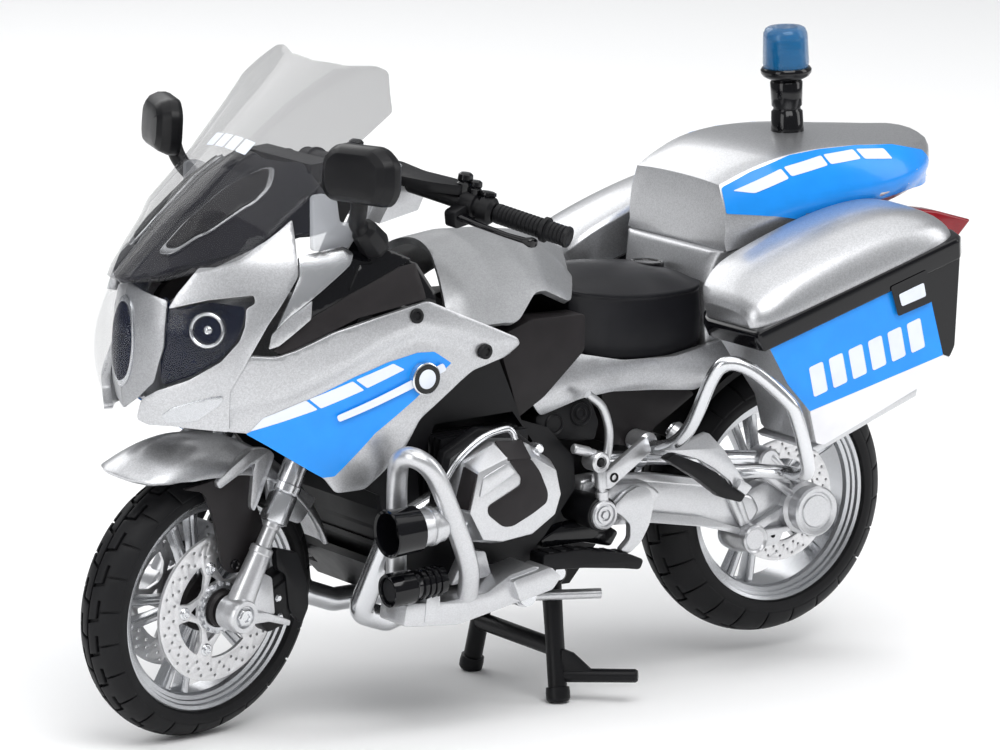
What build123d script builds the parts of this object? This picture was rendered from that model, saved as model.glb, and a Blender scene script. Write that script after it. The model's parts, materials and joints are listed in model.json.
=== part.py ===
from build123d import *
import os
from math import cos, radians, sin, tan

# A 1:12 toy police touring motorcycle on its centre stand.
# Millimetres. +X is forward, +Y is the rider's left, +Z is up, and Z = 0 is the floor.

# ---- driving dimensions ---------------------------------------------------
FRONT_AXLE = (67.5, 0, 24.95)
REAR_AXLE = (-56.25, 0, 30)
FRONT_TYRE_R = 25.0
FRONT_TYRE_HALF = 5.0
REAR_TYRE_R = 26.25
REAR_TYRE_HALF = 7.25
RIM_R = 19.5
FRONT_RIM_HALF = 3.7
REAR_RIM_HALF = 5.8
RAKE = 25.9
TRAIL = 9.7
STEER_AT_REST = 10.6
AXLE_R = 1.5
AXLE_HALF = 13.4
HUB_HALF = 7.8
RUNNING_GAP = 0.05
STEM_R = 2.0
FORK_Y = 10.6
TUBE_R = 1.25
SKIN = 1.5
SHROUD_Y = 16.8
CASE_TILT = 16.5
CASE_CORNER = (-26.4, 70.3)
CASE_INNER_Y = 20.0
CASE_OUTER_Y = 40.6
CASE_WALL = 1.4
LID_SHOULDER = 6.0
STAND_PIVOT = (-2.4, 23.4)
STAND_FOOT = (-1.0, 14.6)
SIDE_STAND_PIVOT = (6.0, 12.3, 20.6)
BEACON_BASE = (-61.3, 0, 97.6)
BEACON_TOP = (-60.3, 0, 117.0)
SPOKES = 5
SEAT_SOCKET = (-30.9, 70.0)
SOCKET_R = 2.4
STAND_PIN_R = 1.2
PROP_PIN_R = 1.0
CRUMB = 2.0

AXIS_FOOT = (FRONT_AXLE[0] + TRAIL, 0, 0)
AXIS_UP = (-sin(radians(RAKE)), 0, cos(radians(RAKE)))
STEER_AXIS = Axis(AXIS_FOOT, AXIS_UP)
FORK_AHEAD = FRONT_AXLE[2] * AXIS_UP[2] * tan(radians(RAKE)) - TRAIL * AXIS_UP[2]
YOKE_LOW = 58.0
YOKE_TOP = 61.0
STEM_TOP = 93.5
BAR_LEFT = [Vector(27.5, 3.0, 97.4), Vector(22.6, 14.2, 95.4), Vector(15.6, 34.2, 92.4)]
HEAD_LOW = 61.4
HEAD_TOP = 88.0


# ---- shape helpers --------------------------------------------------------
def join(*shapes):
    """One part out of several touching or overlapping shapes."""
    return Part() + list(shapes)


def slab(points, y_low, y_high):
    """A side-view outline (x, z) extruded from y_low to y_high."""
    wire = Wire.make_polygon([(x, y_low, z) for x, z in points], close=True)
    return Solid.extrude(Face(wire), Vector(0, y_high - y_low, 0))


def block(x_low, x_high, y_low, y_high, z_low, z_high):
    """A box given by its limits."""
    return slab([(x_low, z_low), (x_high, z_low), (x_high, z_high), (x_low, z_high)], y_low, y_high)


def rod(start, end, radius):
    """A round bar between two points."""
    run = Vector(end) - Vector(start)
    return Solid.make_cylinder(radius, run.length, Plane(origin=start, z_dir=run))


def disc(centre_x, centre_z, y_low, y_high, radius):
    """A round plate square to Y."""
    return rod((centre_x, y_low, centre_z), (centre_x, y_high, centre_z), radius)


def bent_tube(points, radius, bend):
    """A round tube along straight runs joined by arcs."""
    line = FilletPolyline(*points, radius=bend)
    profile = Plane(origin=line @ 0, z_dir=line % 0) * Circle(radius)
    return sweep(profile, path=line)


def skin_loft(stations):
    """A straight-sided loft through cross-sections (x, [(y, z), ...]) square to X."""
    wires = [Wire.make_polygon([(x, y, z) for y, z in ring], close=True) for x, ring in stations]
    return Solid.make_loft(wires, ruled=True)


def hood(half_low, half_mid, half_top, z_low, z_mid, z_top):
    """A six-cornered cross-section, symmetric in Y."""
    right = [(half_low, z_low), (half_mid, z_mid), (half_top, z_top)]
    left = [(-y, z) for y, z in reversed(right)]
    return right + left


def hollow_loft(stations, wall):
    """A cover open below, lofted through six-cornered sections (x, hood sizes) with an even wall."""
    inside = []
    for index, (x, (half_low, half_mid, half_top, z_low, z_mid, z_top)) in enumerate(stations):
        shift = -wall if index == 0 else wall if index == len(stations) - 1 else 0
        sizes = (half_low - wall, half_mid - wall, half_top - wall / 2, z_low - wall, z_mid - wall / 2,
            z_top - wall)
        inside.append((x + shift, hood(*sizes)))
    outside = [(x, hood(*sizes)) for x, sizes in stations]
    return skin_loft(outside) - skin_loft(inside)


def other_side(shape):
    """The same piece on the rider's right."""
    return mirror(shape, about=Plane.XZ)


def both_sides(shape):
    """A left piece and its mirror image as one group of separate solids."""
    return group([shape, other_side(shape)])


def group(shapes):
    """Several shapes as one group of separate solids."""
    return Compound([solid for shape in shapes for solid in shape.solids()])


def steered(shape):
    """A piece of the front end, turned from straight ahead to its resting angle."""
    return shape.rotate(STEER_AXIS, STEER_AT_REST)


def on_axis(height, ahead=0.0, side=0.0):
    """A point at a height along the steering axis, moved ahead of it and sideways."""
    up = Vector(AXIS_UP)
    forward = Vector(AXIS_UP[2], 0, -AXIS_UP[0])
    along = up * (height / AXIS_UP[2])
    return Vector(AXIS_FOOT) + along + forward * ahead + Vector(0, side, 0)


def beacon_at(share):
    """A point on the beacon's leaning centre line, from base (0) to top (1)."""
    low = Vector(BEACON_BASE)
    return low + (Vector(BEACON_TOP) - low) * share


def in_case_frame(points):
    """Side-view points of a pannier, from its own tilted frame to the model's (x, z)."""
    tilt = radians(CASE_TILT)
    moved = []
    for along, up in points:
        x = CASE_CORNER[0] - along * cos(tilt) + up * sin(tilt)
        z = CASE_CORNER[1] + along * sin(tilt) + up * cos(tilt)
        moved.append((x, z))
    return moved


# ---- wheels ---------------------------------------------------------------
def tyre(radius, half_width, crown):
    """A tyre standing about the Y axis at the origin: round crown, flat side walls."""
    side = half_width - 0.3
    rim = RIM_R + 0.02
    outline = Polyline((rim, -side + 0.6), (rim, side - 0.6), (rim + 1.2, side),
        (radius - crown, half_width))
    right = ThreePointArc((radius - crown, half_width), (radius, 0), (radius - crown, -half_width))
    back = Polyline((radius - crown, -half_width), (rim + 1.2, -side), (rim, -side + 0.6))
    face = make_face([*outline.edges(), *right.edges(), *back.edges()])
    return revolve(face, Axis.Y)


def rim(half_width, hub_half, spoke_width):
    """A cast rim about the Y axis: hoop with two flanges, five double spokes and a bored hub."""
    bed = RIM_R - 2.4
    hoop = Polyline(
        (RIM_R, -half_width), (RIM_R, half_width), (RIM_R - 1.0, half_width), (bed - 0.6, half_width - 1.4),
        (bed - 0.6, -half_width + 1.4), (RIM_R - 1.0, -half_width), close=True)
    ring = revolve(make_face(hoop), Axis.Y)
    hub = disc(0, 0, -hub_half, hub_half, 3.4)
    flange = disc(0, 0, -2.4, 2.4, 5.2)
    arms = []
    for index in range(SPOKES):
        turn = 360 / SPOKES * index
        for lean in (-9, 9):
            arm = block(3.0, bed, -1.4, 1.4, -spoke_width / 2, spoke_width / 2)
            arms.append(arm.rotate(Axis((4.0, 0, 0), (0, 1, 0)), lean).rotate(Axis.Y, turn))
    bore = disc(0, 0, -hub_half - 1, hub_half + 1, AXLE_R + RUNNING_GAP)
    return join(ring, hub, flange, *arms) - bore


def brake_disc(radius, y_low, y_high, hub_radius):
    """A brake disc about the Y axis: drilled outer band, five arms and a centre ring."""
    plate = disc(0, 0, y_low, y_high, radius) - disc(0, 0, y_low - 1, y_high + 1, radius - 4.4)
    centre = disc(0, 0, y_low, y_high, hub_radius + 2.6) - disc(0, 0, y_low - 1, y_high + 1, hub_radius)
    arms = []
    for index in range(SPOKES):
        arm = block(hub_radius + 1.6, radius - 4.0, y_low, y_high, -1.1, 1.1)
        arms.append(arm.rotate(Axis.Y, 360 / SPOKES * index))
    holes = []
    for row, reach in enumerate((radius - 1.1, radius - 2.2, radius - 3.3)):
        for index in range(20):
            turn = 18 * index + 6 * row
            hole = disc(reach, 0, y_low - 1, y_high + 1, 0.34)
            holes.append(hole.rotate(Axis.Y, turn))
    return join(plate, centre, *arms) - holes


def front_wheel():
    """Rim, tyre and the two brake discs of the front wheel."""
    home = Pos(*FRONT_AXLE)
    left_disc = brake_disc(13.6, 5.3, 6.0, 3.42)
    return {
        "front_rim": steered(home * rim(FRONT_RIM_HALF, HUB_HALF, 1.5)),
        "front_tyre": steered(home * tyre(FRONT_TYRE_R, FRONT_TYRE_HALF, 3.4)),
        "front_brake_discs": steered(home * both_sides(left_disc)),
    }


def rear_wheel():
    """Rim, tyre and the brake disc of the rear wheel."""
    home = Pos(*REAR_AXLE)
    return {
        "rear_rim": home * rim(REAR_RIM_HALF, HUB_HALF - 0.2, 1.7),
        "rear_tyre": home * tyre(REAR_TYRE_R, REAR_TYRE_HALF, 5.0),
        "rear_brake_disc": home * brake_disc(11.6, 6.4, 7.1, 3.42),
    }


# ---- steering -------------------------------------------------------------
def steering_stem():
    """The steering column: the lower yoke holds both fork legs and the riser carries the bar."""
    column = rod(on_axis(YOKE_TOP - 1), on_axis(STEM_TOP), STEM_R)
    yoke = rod(on_axis(YOKE_LOW), on_axis(YOKE_TOP), 4.4)
    arms = [rod(on_axis(YOKE_LOW, FORK_AHEAD, y), on_axis(YOKE_TOP, FORK_AHEAD, y),
        3.4) for y in (-FORK_Y, FORK_Y)]
    depth = (YOKE_TOP - YOKE_LOW) / AXIS_UP[2]
    middle = on_axis((YOKE_LOW + YOKE_TOP) / 2, FORK_AHEAD / 2)
    bridge = Plane(origin=middle, x_dir=(0, 1, 0), z_dir=AXIS_UP) * Box(2 * FORK_Y, 4.4, depth)
    riser = slab([(33.6, 90.6), (28.0, 99.4), (21.6, 97.6), (24.4, 92.0)], -5.5, 5.5)
    return join(column, yoke, bridge, riser, *arms)


def fork_leg(side):
    """One fork leg: upper tube, hexagonal collar, thin tube, lower boot and axle lug."""
    foot = Vector(FRONT_AXLE) + Vector(0, side, 0)
    up = Vector(AXIS_UP)
    top = foot + up * ((YOKE_TOP - FRONT_AXLE[2]) / AXIS_UP[2] - 0.6)
    upper = rod(foot + up * 23, top, 2.5)
    collar = Plane(origin=foot + up * 17.5, x_dir=(0, 1, 0), z_dir=up) * extrude(RegularPolygon(2.5, 6),
        5.5)
    inner = rod(foot + up * 12.5, foot + up * 17.5, 1.35)
    boot = Solid.make_cone(2.5, 1.9, 12.5, Plane(origin=foot, z_dir=up))
    sign = 1 if side > 0 else -1
    lug = rod(foot - Vector(0, 2.0 * sign, 0), foot + Vector(0, 2.5 * sign, 0), 3.1)
    bore = rod(foot - Vector(0, 4 * sign, 0), foot + Vector(0, 4 * sign, 0), AXLE_R)
    return join(upper, collar, inner, boot, lug) - bore


def fender():
    """The front mudguard: a curved hood over the tyre with a pointed nose."""
    over = FRONT_TYRE_R + 1.3
    outer = disc(0, 0, -8.6, 8.6, over + 1.1)
    inner = disc(0, 0, -9.6, 9.6, over)
    reach = over + 2
    wedge = slab([(0, 0), (20, 22), (20, 34), (-24, 30), (-reach, 9)], -9, 9)
    ring = (outer - inner) & wedge
    skirt = slab([(-9, 23.4), (13, 24.6), (14, 21.5), (2, 19.6), (-8, 17.5), (-15, 14.5),
        (-19, 17.5)], 7.4, 8.6)
    skirt = skirt - disc(0, 0, 6, 10, 14.4)
    return join(ring, skirt, other_side(skirt))


def fender_blades():
    """The two dark blades that carry the mudguard on the fork."""
    blade = slab([(-10, 17.2), (2.2, 19.3), (4.6, 8.6), (3.6, 6.6), (1.6, 6.8), (-5, 14),
        (-12, 14.8)], 7.4, 8.4)
    return both_sides(blade)


def caliper():
    """One front brake caliper: a block straddling the disc edge behind the fork leg."""
    body = slab([(-13.4, -3.6), (-7.6, -5.0), (-5.2, -1.2), (-6.2, 4.2), (-11.6, 6.2),
        (-14.6, 1.6)], 4.9, 9.9)
    slot = block(-20, 0, 4.85, 6.35, -10, 10)
    bridge = block(-3.6, -1.9, 8.7, 10.0, -1.2, 2.4)
    arm = slab([(-6.2, -1.0), (-2.4, -1.6), (-2.4, 1.8), (-6.2, 3.6)], 8.7, 9.9)
    return join(body - slot, arm, bridge)


def clear_of(shape, *others):
    """A group of solids with the space of other pieces cut away."""
    solids = shape.solids()
    for other in others:
        solids = [part for solid in solids for part in (Part() + solid - other).solids()]
    return group(solids)


def front_end():
    """Everything that turns with the handlebar, except the wheel."""
    at_axle = Pos(*FRONT_AXLE)
    legs = group([fork_leg(FORK_Y), fork_leg(-FORK_Y)])
    guard = clear_of(at_axle * fender(), legs)
    half_axle = Vector(0, AXLE_HALF, 0)
    bar = handlebar_tube()
    return {
        "steering_stem": steered(clear_of(steering_stem(), legs, bar)),
        "fork_legs": steered(legs),
        "front_axle": steered(rod(Vector(FRONT_AXLE) - half_axle, Vector(FRONT_AXLE) + half_axle, AXLE_R)),
        "front_fender": steered(guard),
        "fender_blades": steered(clear_of(at_axle * fender_blades(), legs, guard)),
        "front_calipers": steered(clear_of(at_axle * both_sides(caliper()), legs)),
        **handlebar(),
    }


def handlebar_tube():
    """The bar itself, bent back on both sides of its clamp."""
    left = BAR_LEFT
    right = [Vector(point.X, -point.Y, point.Z) for point in left]
    inner = [rod(side[0], side[1], 1.5) for side in (left, right)]
    outer = [rod(side[1], side[2], 1.2) for side in (left, right)]
    corners = [Pos(*point) * Sphere(1.5) for point in (left[0], right[0], left[1], right[1])]
    clamp = block(24.6, 30.0, -5.2, 5.2, 95.6, 99.2)
    return join(clamp, rod(left[0], right[0], 1.5), *inner, *outer, *corners)


def handlebar():
    """The bar, and on each side of it a grip, a control housing and a lever."""
    bar = handlebar_tube()
    start = BAR_LEFT[1]
    run = BAR_LEFT[2] - BAR_LEFT[1]
    grip = join(
        rod(start + run * 0.36, start + run, 1.75),
        rod(start + run * 0.78, start + run * 0.82, 2.25),
        rod(start + run * 0.97, start + run * 1.03, 1.9))
    reservoir = Pos(*(start + run * 0.06 + Vector(-0.2, 0, 2.6))) * Box(4.2, 3.6, 3.2)
    housing = join(
        rod(start + run * 0.04, start + run * 0.2, 2.3), rod(start + run * 0.24, start + run * 0.3, 2.5),
            reservoir)
    ahead = Vector(3.0, 0, -0.6)
    pivot = start + run * 0.12 + ahead
    tip = start + run * 0.88 + ahead * 1.3
    lever = join(
        rod(pivot, tip, 0.7), rod(tip - run * 0.03, tip + run * 0.03, 1.0),
        rod(pivot - ahead * 0.62, pivot + ahead * 0.1, 1.0))
    return {
        "handlebar": steered(bar),
        "grips": steered(clear_of(both_sides(grip), bar)),
        "bar_controls": steered(clear_of(both_sides(join(housing, lever)), bar)),
    }


# ---- frame and running gear ----------------------------------------------
def chassis():
    """The main frame: steering head, backbone over the engine and rear subframe."""
    spine = slab([
        (42, 64), (33, 82), (26, 80), (8, 66), (-4, 60.5), (-34, 60.5), (-78, 75), (-80, 71), (-34, 57.5),
        (-26, 44), (-19, 31), (-9, 19.5), (2, 19.5), (2.5, 30), (2.5, 49), (36, 52)], -6, 6)
    head = rod(on_axis(HEAD_LOW), on_axis(HEAD_TOP), 4.6)
    bore = rod(on_axis(HEAD_LOW - 10), on_axis(HEAD_TOP + 10), STEM_R + RUNNING_GAP)
    lug = slab([(0.4, 27), (10, 25), (10, 18.6), (4, 18.2), (0.4, 20)], 5, 10.6)
    cross_tubes = [rod((x, -14.5, z), (x, 14.5, z), 1.8) for x, z in ((-3.0, 62.5), (-28.0, 60.0),
        (-52.0, 68.0))]
    shroud_tube = rod((30, -SHROUD_Y, 60), (30, SHROUD_Y, 60), 1.8)
    panel_tube = rod((33, -25.5, 75), (33, 25.5, 75), 1.8)
    return join(spine, head, lug, *cross_tubes, shroud_tube, panel_tube) - bore


def engine_block():
    """The crankcase between the two cylinders."""
    case = slab([(3, 49), (34, 49), (37.5, 40), (36, 30), (28, 23), (6, 23), (3, 30)], -13.5, 13.5)
    ribs = [block(34.5, 37.0, -13.5, 13.5, z, z + 0.9) for z in (33, 36, 39)]
    return join(case, *ribs)


def cylinder():
    """The left finned cylinder barrel."""
    barrel = block(13, 28.5, 13.5, 23, 38.5, 52)
    fins = [block(11.4, 30, 14.4 + 1.7 * index, 15.1 + 1.7 * index, 36.9, 53.6) for index in range(5)]
    return join(barrel, *fins)


HEAD_OUTLINE = [
    (31.4, 47.4), (28.4, 53.4), (21.4, 55.6), (13.2, 54.6), (9.2, 49.6), (9.6, 42.4), (14.6, 37.2),
        (20.6, 36.0),
    (27.4, 37.6), (30.8, 42.0)]
HEAD_FACE_SHARE = 0.9


def scaled(outline, share):
    """A side-view outline drawn closer to its own middle."""
    middle_x = sum(x for x, z in outline) / len(outline)
    middle_z = sum(z for x, z in outline) / len(outline)
    return [(middle_x + (x - middle_x) * share, middle_z + (z - middle_z) * share) for x, z in outline]


def head_cover():
    """The left rocker cover, faceted towards its outer face."""
    low = Wire.make_polygon([(x, 23.0, z) for x, z in HEAD_OUTLINE], close=True)
    mid = Wire.make_polygon([(x, 27.6, z) for x, z in HEAD_OUTLINE], close=True)
    top = Wire.make_polygon([(x, 33.0, z) for x, z in scaled(HEAD_OUTLINE, HEAD_FACE_SHARE)], close=True)
    return join(Solid.make_loft([low, mid], ruled=True), Solid.make_loft([mid, top], ruled=True))


def exhaust():
    """Two header pipes, one from each cylinder, meeting under the engine, and the silencer."""
    front = [(28.5, 19.0, 42.0), (37.0, 17.5, 38.0), (39.4, 10.0, 21.0), (33.0, 9.0, 18.6)]
    left = bent_tube([*front, (20.0, 1.5, 18.6), (12.0, -8.0, 18.6)], 2.2, 2.6)
    right = bent_tube([*[(x, -y, z) for x, y, z in front], (12.0, -10.0, 18.6), (0.0, -17.6, 21.0),
        (-23.5, -19.4, 28.0)], 2.2, 2.6)
    pipes = join(left, right)
    low = Vector(-23.5, -19.4, 28.0)
    high = Vector(-74, -25.5, 43.5)
    run = high - low
    plane = Plane(origin=low + run * 0.06, z_dir=run)
    shell = plane * extrude(RegularPolygon(5.2, 8), run.length * 0.9)
    cone = Solid.make_cone(2.3, 4.7, run.length * 0.06, Plane(origin=low, z_dir=run))
    tip = rod(low + run * 0.96, low + run * 1.03, 2.6) - rod(low + run * 0.97, low + run * 1.1, 2.0)
    return pipes, join(shell, cone, tip) - pipes


def crash_bar():
    """The left engine guard: an arched tube on a foot plate."""
    tube = bent_tube([
        (40.5, 23.5, 25.0), (43.4, 29.2, 53.8), (40.0, 35.0, 53.0), (31.0, 33.6, 33.0),
            (29.0, 28.0, 25.0)], 1.7, 2.2)
    plate = slab([(42, 22.6), (31, 22.0), (13, 25.2), (11, 28.2), (15, 30.2), (24, 27.4),
        (34, 26.4)], 21.5, 29.5)
    stay = block(28, 36, 13.5, 21.5, 24.6, 26.4)
    return join(tube, plate, stay)


def fog_lamp():
    """The left upper lamp: housing with its clamp, and its dark bezel."""
    housing = join(rod((36.8, 32.6, 41.2), (42.4, 32.6, 40.9), 3.2), rod((41.0, 30.0, 40.9),
        (42.0, 27.4, 40.9), 1.2))
    bezel = rod((42.4, 32.6, 40.9), (47.6, 32.6, 40.6), 4.1) - rod((45.6, 32.6, 40.7),
        (48, 32.6, 40.6), 3.3)
    return housing, bezel


def spot_lamp():
    """The left lower lamp: a dark ribbed barrel on a short post, with a lens recess."""
    barrel = rod((33.5, 29.2, 30.1), (45.4, 29.2, 29.4), 2.7)
    ribs = [rod((x, 29.2, 29.8), (x + 0.8, 29.2, 29.7), 3.0) for x in (38.4, 40.6, 42.8)]
    post = rod((36.0, 28.6, 24.4), (36.0, 29.2, 29.0), 1.1)
    return join(barrel, post, *ribs) - rod((44.2, 29.2, 29.45), (46, 29.2, 29.4), 2.1)


def swingarm():
    """The left single-sided swingarm: shaft housing, final drive and the rear axle stub's boss."""
    arm = slab([
        (-6, 41.0), (-12, 41.4), (-22, 39.6), (-39, 36.4), (-48, 35.0), (-44, 24.6), (-36, 28.8),
            (-21, 31.4),
        (-10, 32.0), (-5, 36)], 9.4, 15.0)
    rib_top = slab([(-12, 41.4), (-39, 36.4), (-39, 35.2), (-12, 40.2)], 15.0, 15.9)
    rib_low = slab([(-10, 32.0), (-21, 31.4), (-36, 28.8), (-36, 30.0), (-21, 32.6),
        (-10, 33.2)], 15.0, 15.9)
    hub = disc(REAR_AXLE[0], REAR_AXLE[2], 8.2, 17.0, 5.6)
    cap = disc(REAR_AXLE[0], REAR_AXLE[2], 17.0, 18.4, 4.6)
    web = slab([(-44, 35.6), (-48, 38.6), (-56.25, 35.6), (-58, 26.0), (-50, 22.6), (-43, 24.0)], 9.4, 13.0)
    lower = disc(-44.4, 26.0, 9.4, 17.2, 3.6)
    ribs = [
        rod((-44.4, 14.6, 26.0), (-55.0, 14.6, 28.6), 0.8),
        rod((-45.0, 14.6, 34.6), (-54.0, 14.6, 31.6), 0.8),
        rod((-48.0, 14.0, 38.4), (-55.0, 14.0, 32.0), 0.9),
    ]
    strut = rod((-9, 12.0, 44.0), (-47.6, 12.0, 38.6), 1.6)
    eye = disc(-9.0, 44.0, 9.6, 14.4, 2.6)
    return join(arm, rib_top, rib_low, hub, cap, web, lower, strut, eye, *ribs)


def peg_carrier():
    """The left rider peg plate with its pivot boss."""
    plate = slab([
        (-1.0, 49.0), (-5.6, 49.0), (-6.6, 41.0), (-15.5, 48.6), (-17.0, 46.2), (-10.0, 39.2),
            (-16.6, 38.6),
        (-17.0, 36.4), (-13.4, 27.2), (-9.4, 27.2), (-8.2, 33.0), (-3.0, 33.4), (-1.4, 37.2)], 18.4, 20.2)
    boss = disc(-5.6, 35.8, 13.0, 22.6, 3.4)
    return join(plate, boss)


def footrests():
    """Rubber rider footrests, folded out level on both sides."""
    peg = slab([(-4.0, 27.6), (-17.0, 27.2), (-18.0, 25.4), (-16.0, 24.2), (-4.0, 24.8)], 16.6, 20.4)
    return both_sides(peg)


def gear_lever():
    """The gear linkage: an upright rod with a ball joint and a toe piece."""
    upright = rod((-3.4, 21.6, 54.0), (-3.4, 21.6, 40.2), 0.9)
    toe = rod((1.4, 21.6, 47.8), (-3.4, 21.6, 46.6), 0.9)
    knuckle = disc(-3.0, 45.2, 20.2, 23.2, 1.7)
    return join(upright, toe, knuckle)


def passenger_peg():
    """The left passenger peg carrier: a swept plate with a folded pad."""
    return slab([(-17.4, 48.4), (-26.0, 49.6), (-29.0, 46.6), (-34.0, 39.6), (-32.4, 37.8),
        (-24.0, 44.2)], 24.6, 26.2)


def passenger_pad():
    """The left dark pad of the passenger peg."""
    return slab([(-16.0, 47.6), (-24.0, 43.6), (-32.6, 37.2), (-31.4, 36.0), (-22.0, 41.0),
        (-14.6, 45.4)], 24.6, 26.8)


def pannier_guard():
    """The left pannier guard loop, with both ends on the frame."""
    return bent_tube([
        (-18.0, 12.6, 46.8), (-18.4, 26.0, 47.2), (-20.4, 35.0, 64.4), (-25.6, 38.8, 63.2),
            (-32.0, 42.2, 57.0),
        (-36.8, 41.6, 43.6), (-40.0, 31.0, 41.6), (-31.5, 21.0, 41.0), (-26.5, 12.6, 48.0)], TUBE_R, 2.2)


def centre_stand():
    """The centre stand: cross tube, two splayed legs with feet, a brace and the foot lever."""
    x, z = STAND_PIVOT
    foot_x, foot_y = STAND_FOOT
    sleeve_high = rod((x, 6.3, z), (x, 11.6, z), 2.2)
    sleeve_low = rod((x, -11.6, z), (x, -6.3, z), 2.2)
    pieces = [sleeve_high, sleeve_low]
    for side in (-1, 1):
        pieces.append(rod((x, side * 9.6, z - 1.0), (foot_x, side * foot_y, 1.2), 1.75))
        pieces.append(rod((foot_x, side * foot_y, 0), (foot_x, side * foot_y, 2.0), 2.1))
    pieces.append(rod((foot_x - 0.5, -12.6, 9.6), (foot_x - 0.5, 12.6, 9.6), 1.6))
    lever_z = 4.6
    pieces.append(rod((foot_x - 1.0, foot_y - 0.6, lever_z), (-12.4, 23.2, lever_z + 0.6), 1.2))
    gusset = slab([(foot_x - 0.6, 9.0), (foot_x - 0.6, 4.2), (-7.8, 4.4), (-4.4, 6.6)], 13.4, 14.6)
    pieces.append(gusset.rotate(Axis((foot_x, 14, 0), (0, 0, 1)), -36))
    bore = rod((x, -20, z), (x, 20, z), STAND_PIN_R + RUNNING_GAP)
    return join(*pieces) - bore


def side_stand():
    """The side stand: a bored eye and a thin leg, folded back along the frame."""
    x, y, z = SIDE_STAND_PIVOT
    eye = disc(x, z, y - 1.3, y + 1.3, 2.2)
    leg = rod((x, y, z - 0.4), (x - 14.6, y + 4.3, z - 0.8), 0.95)
    bore = disc(x, z, y - 3, y + 3, PROP_PIN_R + RUNNING_GAP)
    return join(eye, leg) - bore


# ---- bodywork -------------------------------------------------------------
def plan_region():
    """The fairing's plan outline, from the knee to the nose and back."""
    left = [
        Line((0, 24.0), (36, 27.0)),
        ThreePointArc((36, 27.0), (50, 26.6), (62, 23.6)),
        ThreePointArc((62, 23.6), (72.8, 17.8), (81, 9.6)),
    ]
    nose = ThreePointArc((81, 9.6), (84, 0), (81, -9.6))
    right = [mirror(edge, about=Plane.XZ) for edge in left]
    edges = [edge for curve in (*left, nose, *right) for edge in curve.edges()]
    return make_face([*edges, *Line((0, -24.0), (0, 24.0)).edges()])


def plan_band(thickness, inset=0.0):
    """The left half of the fairing's plan outline, as a tall curved wall."""
    region = plan_region()
    outer = offset(region, amount=-inset) if inset else region
    inner = offset(region, amount=-inset - thickness)
    wall = Pos(0, 0, 42) * extrude(outer - inner, 60)
    return wall & block(12, 90, 0, 40, 42, 102)


HEADLIGHT_OPENING = [
    (92, 86.6), (80, 83.4), (66.6, 81.4), (65.0, 79.0), (67.0, 73.8), (71.0, 69.8), (77.0, 67.6),
        (82, 63.6), (92, 60.4)]
NOSE_OUTLINE = [
    (92, 57), (76, 58.6), (73.6, 60.0), (73.2, 66.7), (62.4, 77.6), (58.8, 81.6), (49.6, 87.8),
        (50.4, 91.5),
    (62.7, 91.4), (75.0, 87.2), (82.0, 82.0), (92, 80.0)]
PANEL_OUTLINE = [
    (73.3, 60.0), (72.9, 66.6), (62.2, 77.3), (59.8, 78.4), (54.1, 75.9), (45.2, 77.6), (34.2, 79.6),
        (15.7, 71.2),
    (16.5, 70.2), (18.7, 68.2), (26.0, 66.3), (37.2, 59.0), (39.5, 54.2), (43.4, 50.1), (46.7, 47.4),
        (53.3, 47.4),
    (56.2, 50.3), (68.0, 56.6)]
UPPER_OUTLINE = [
    (58.5, 81.4), (62.1, 77.7), (59.8, 78.8), (54.1, 76.3), (45.2, 78.0), (34.2, 80.0), (30.0, 84.6),
        (36.0, 91.0),
    (49.3, 87.8)]


def halves(shape):
    """A left half and its mirror image fused across the middle."""
    return join(shape, other_side(shape))


def fairing():
    """Nose shell, headlight lens, side panels and dark upper panels, cut from one curved wall."""
    wall = plan_band(SKIN)
    clear = plan_band(0.8, 0.2)
    nose = wall & slab(NOSE_OUTLINE, -1, 40) - slab(HEADLIGHT_OPENING, -2, 41)
    lens = clear & slab(HEADLIGHT_OPENING, -1, 40) - slab([(60, 84.2), (95, 84.2), (95, 90),
        (60, 90)], -2, 41)
    panel = wall & slab(PANEL_OUTLINE, -1, 40)
    upper = plan_band(SKIN, 1.2) & slab(UPPER_OUTLINE, -1, 40)
    return halves(nose), halves(lens), panel, upper


def headlight_inner():
    """The headlight bucket behind the lens, with two lamp rings and the oval middle lamp."""
    bucket = plan_band(3.0, 2.2) & slab([(84, 82.2), (67.6, 80.0), (69.0, 75.0), (73, 71.2), (80, 67.4),
        (84, 62.6)], -1, 40)
    bucket = halves(bucket)
    side_ring = Plane(origin=(75.0, 12.2, 75.8), z_dir=(0.72, 0.68, 0.05))
    seats = both_sides(side_ring * Cylinder(2.6, 2.2))
    rings = both_sides(side_ring * (Cylinder(2.6, 2.2) - Cylinder(1.9, 4)))
    oval = extrude(Plane(origin=(79.4, 0, 73.2), x_dir=(0, 1, 0), z_dir=(1, 0, 0)) * Ellipse(4.0, 7.6), 1.6)
    return join(bucket - seats - oval, rings, oval)


def inner_cowl():
    """The dark wedge under the windscreen, from the nose tip up to the instruments."""
    stations = [
        (80.4, hood(4.0, 3.0, 1.2, 83.4, 84.6, 85.4)),
        (72.0, hood(12.4, 10.6, 3.0, 85.6, 90.6, 93.4)),
        (58.0, hood(18.4, 14.6, 3.6, 90.0, 98.6, 105.4)),
        (52.0, hood(19.0, 15.0, 3.0, 92.0, 98.0, 106.0)),
    ]
    hollow = [
        (76.0, hood(4.0, 3.0, 1.2, 82.0, 83.6, 84.4)),
        (70.0, hood(9.4, 7.6, 2.0, 83.0, 88.0, 90.0)),
        (57.0, hood(15.4, 11.6, 2.2, 88.0, 95.6, 102.0)),
        (50.0, hood(17.0, 13.0, 2.0, 88.0, 96.0, 104.0)),
    ]
    return skin_loft(stations) - skin_loft(hollow)


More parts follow.
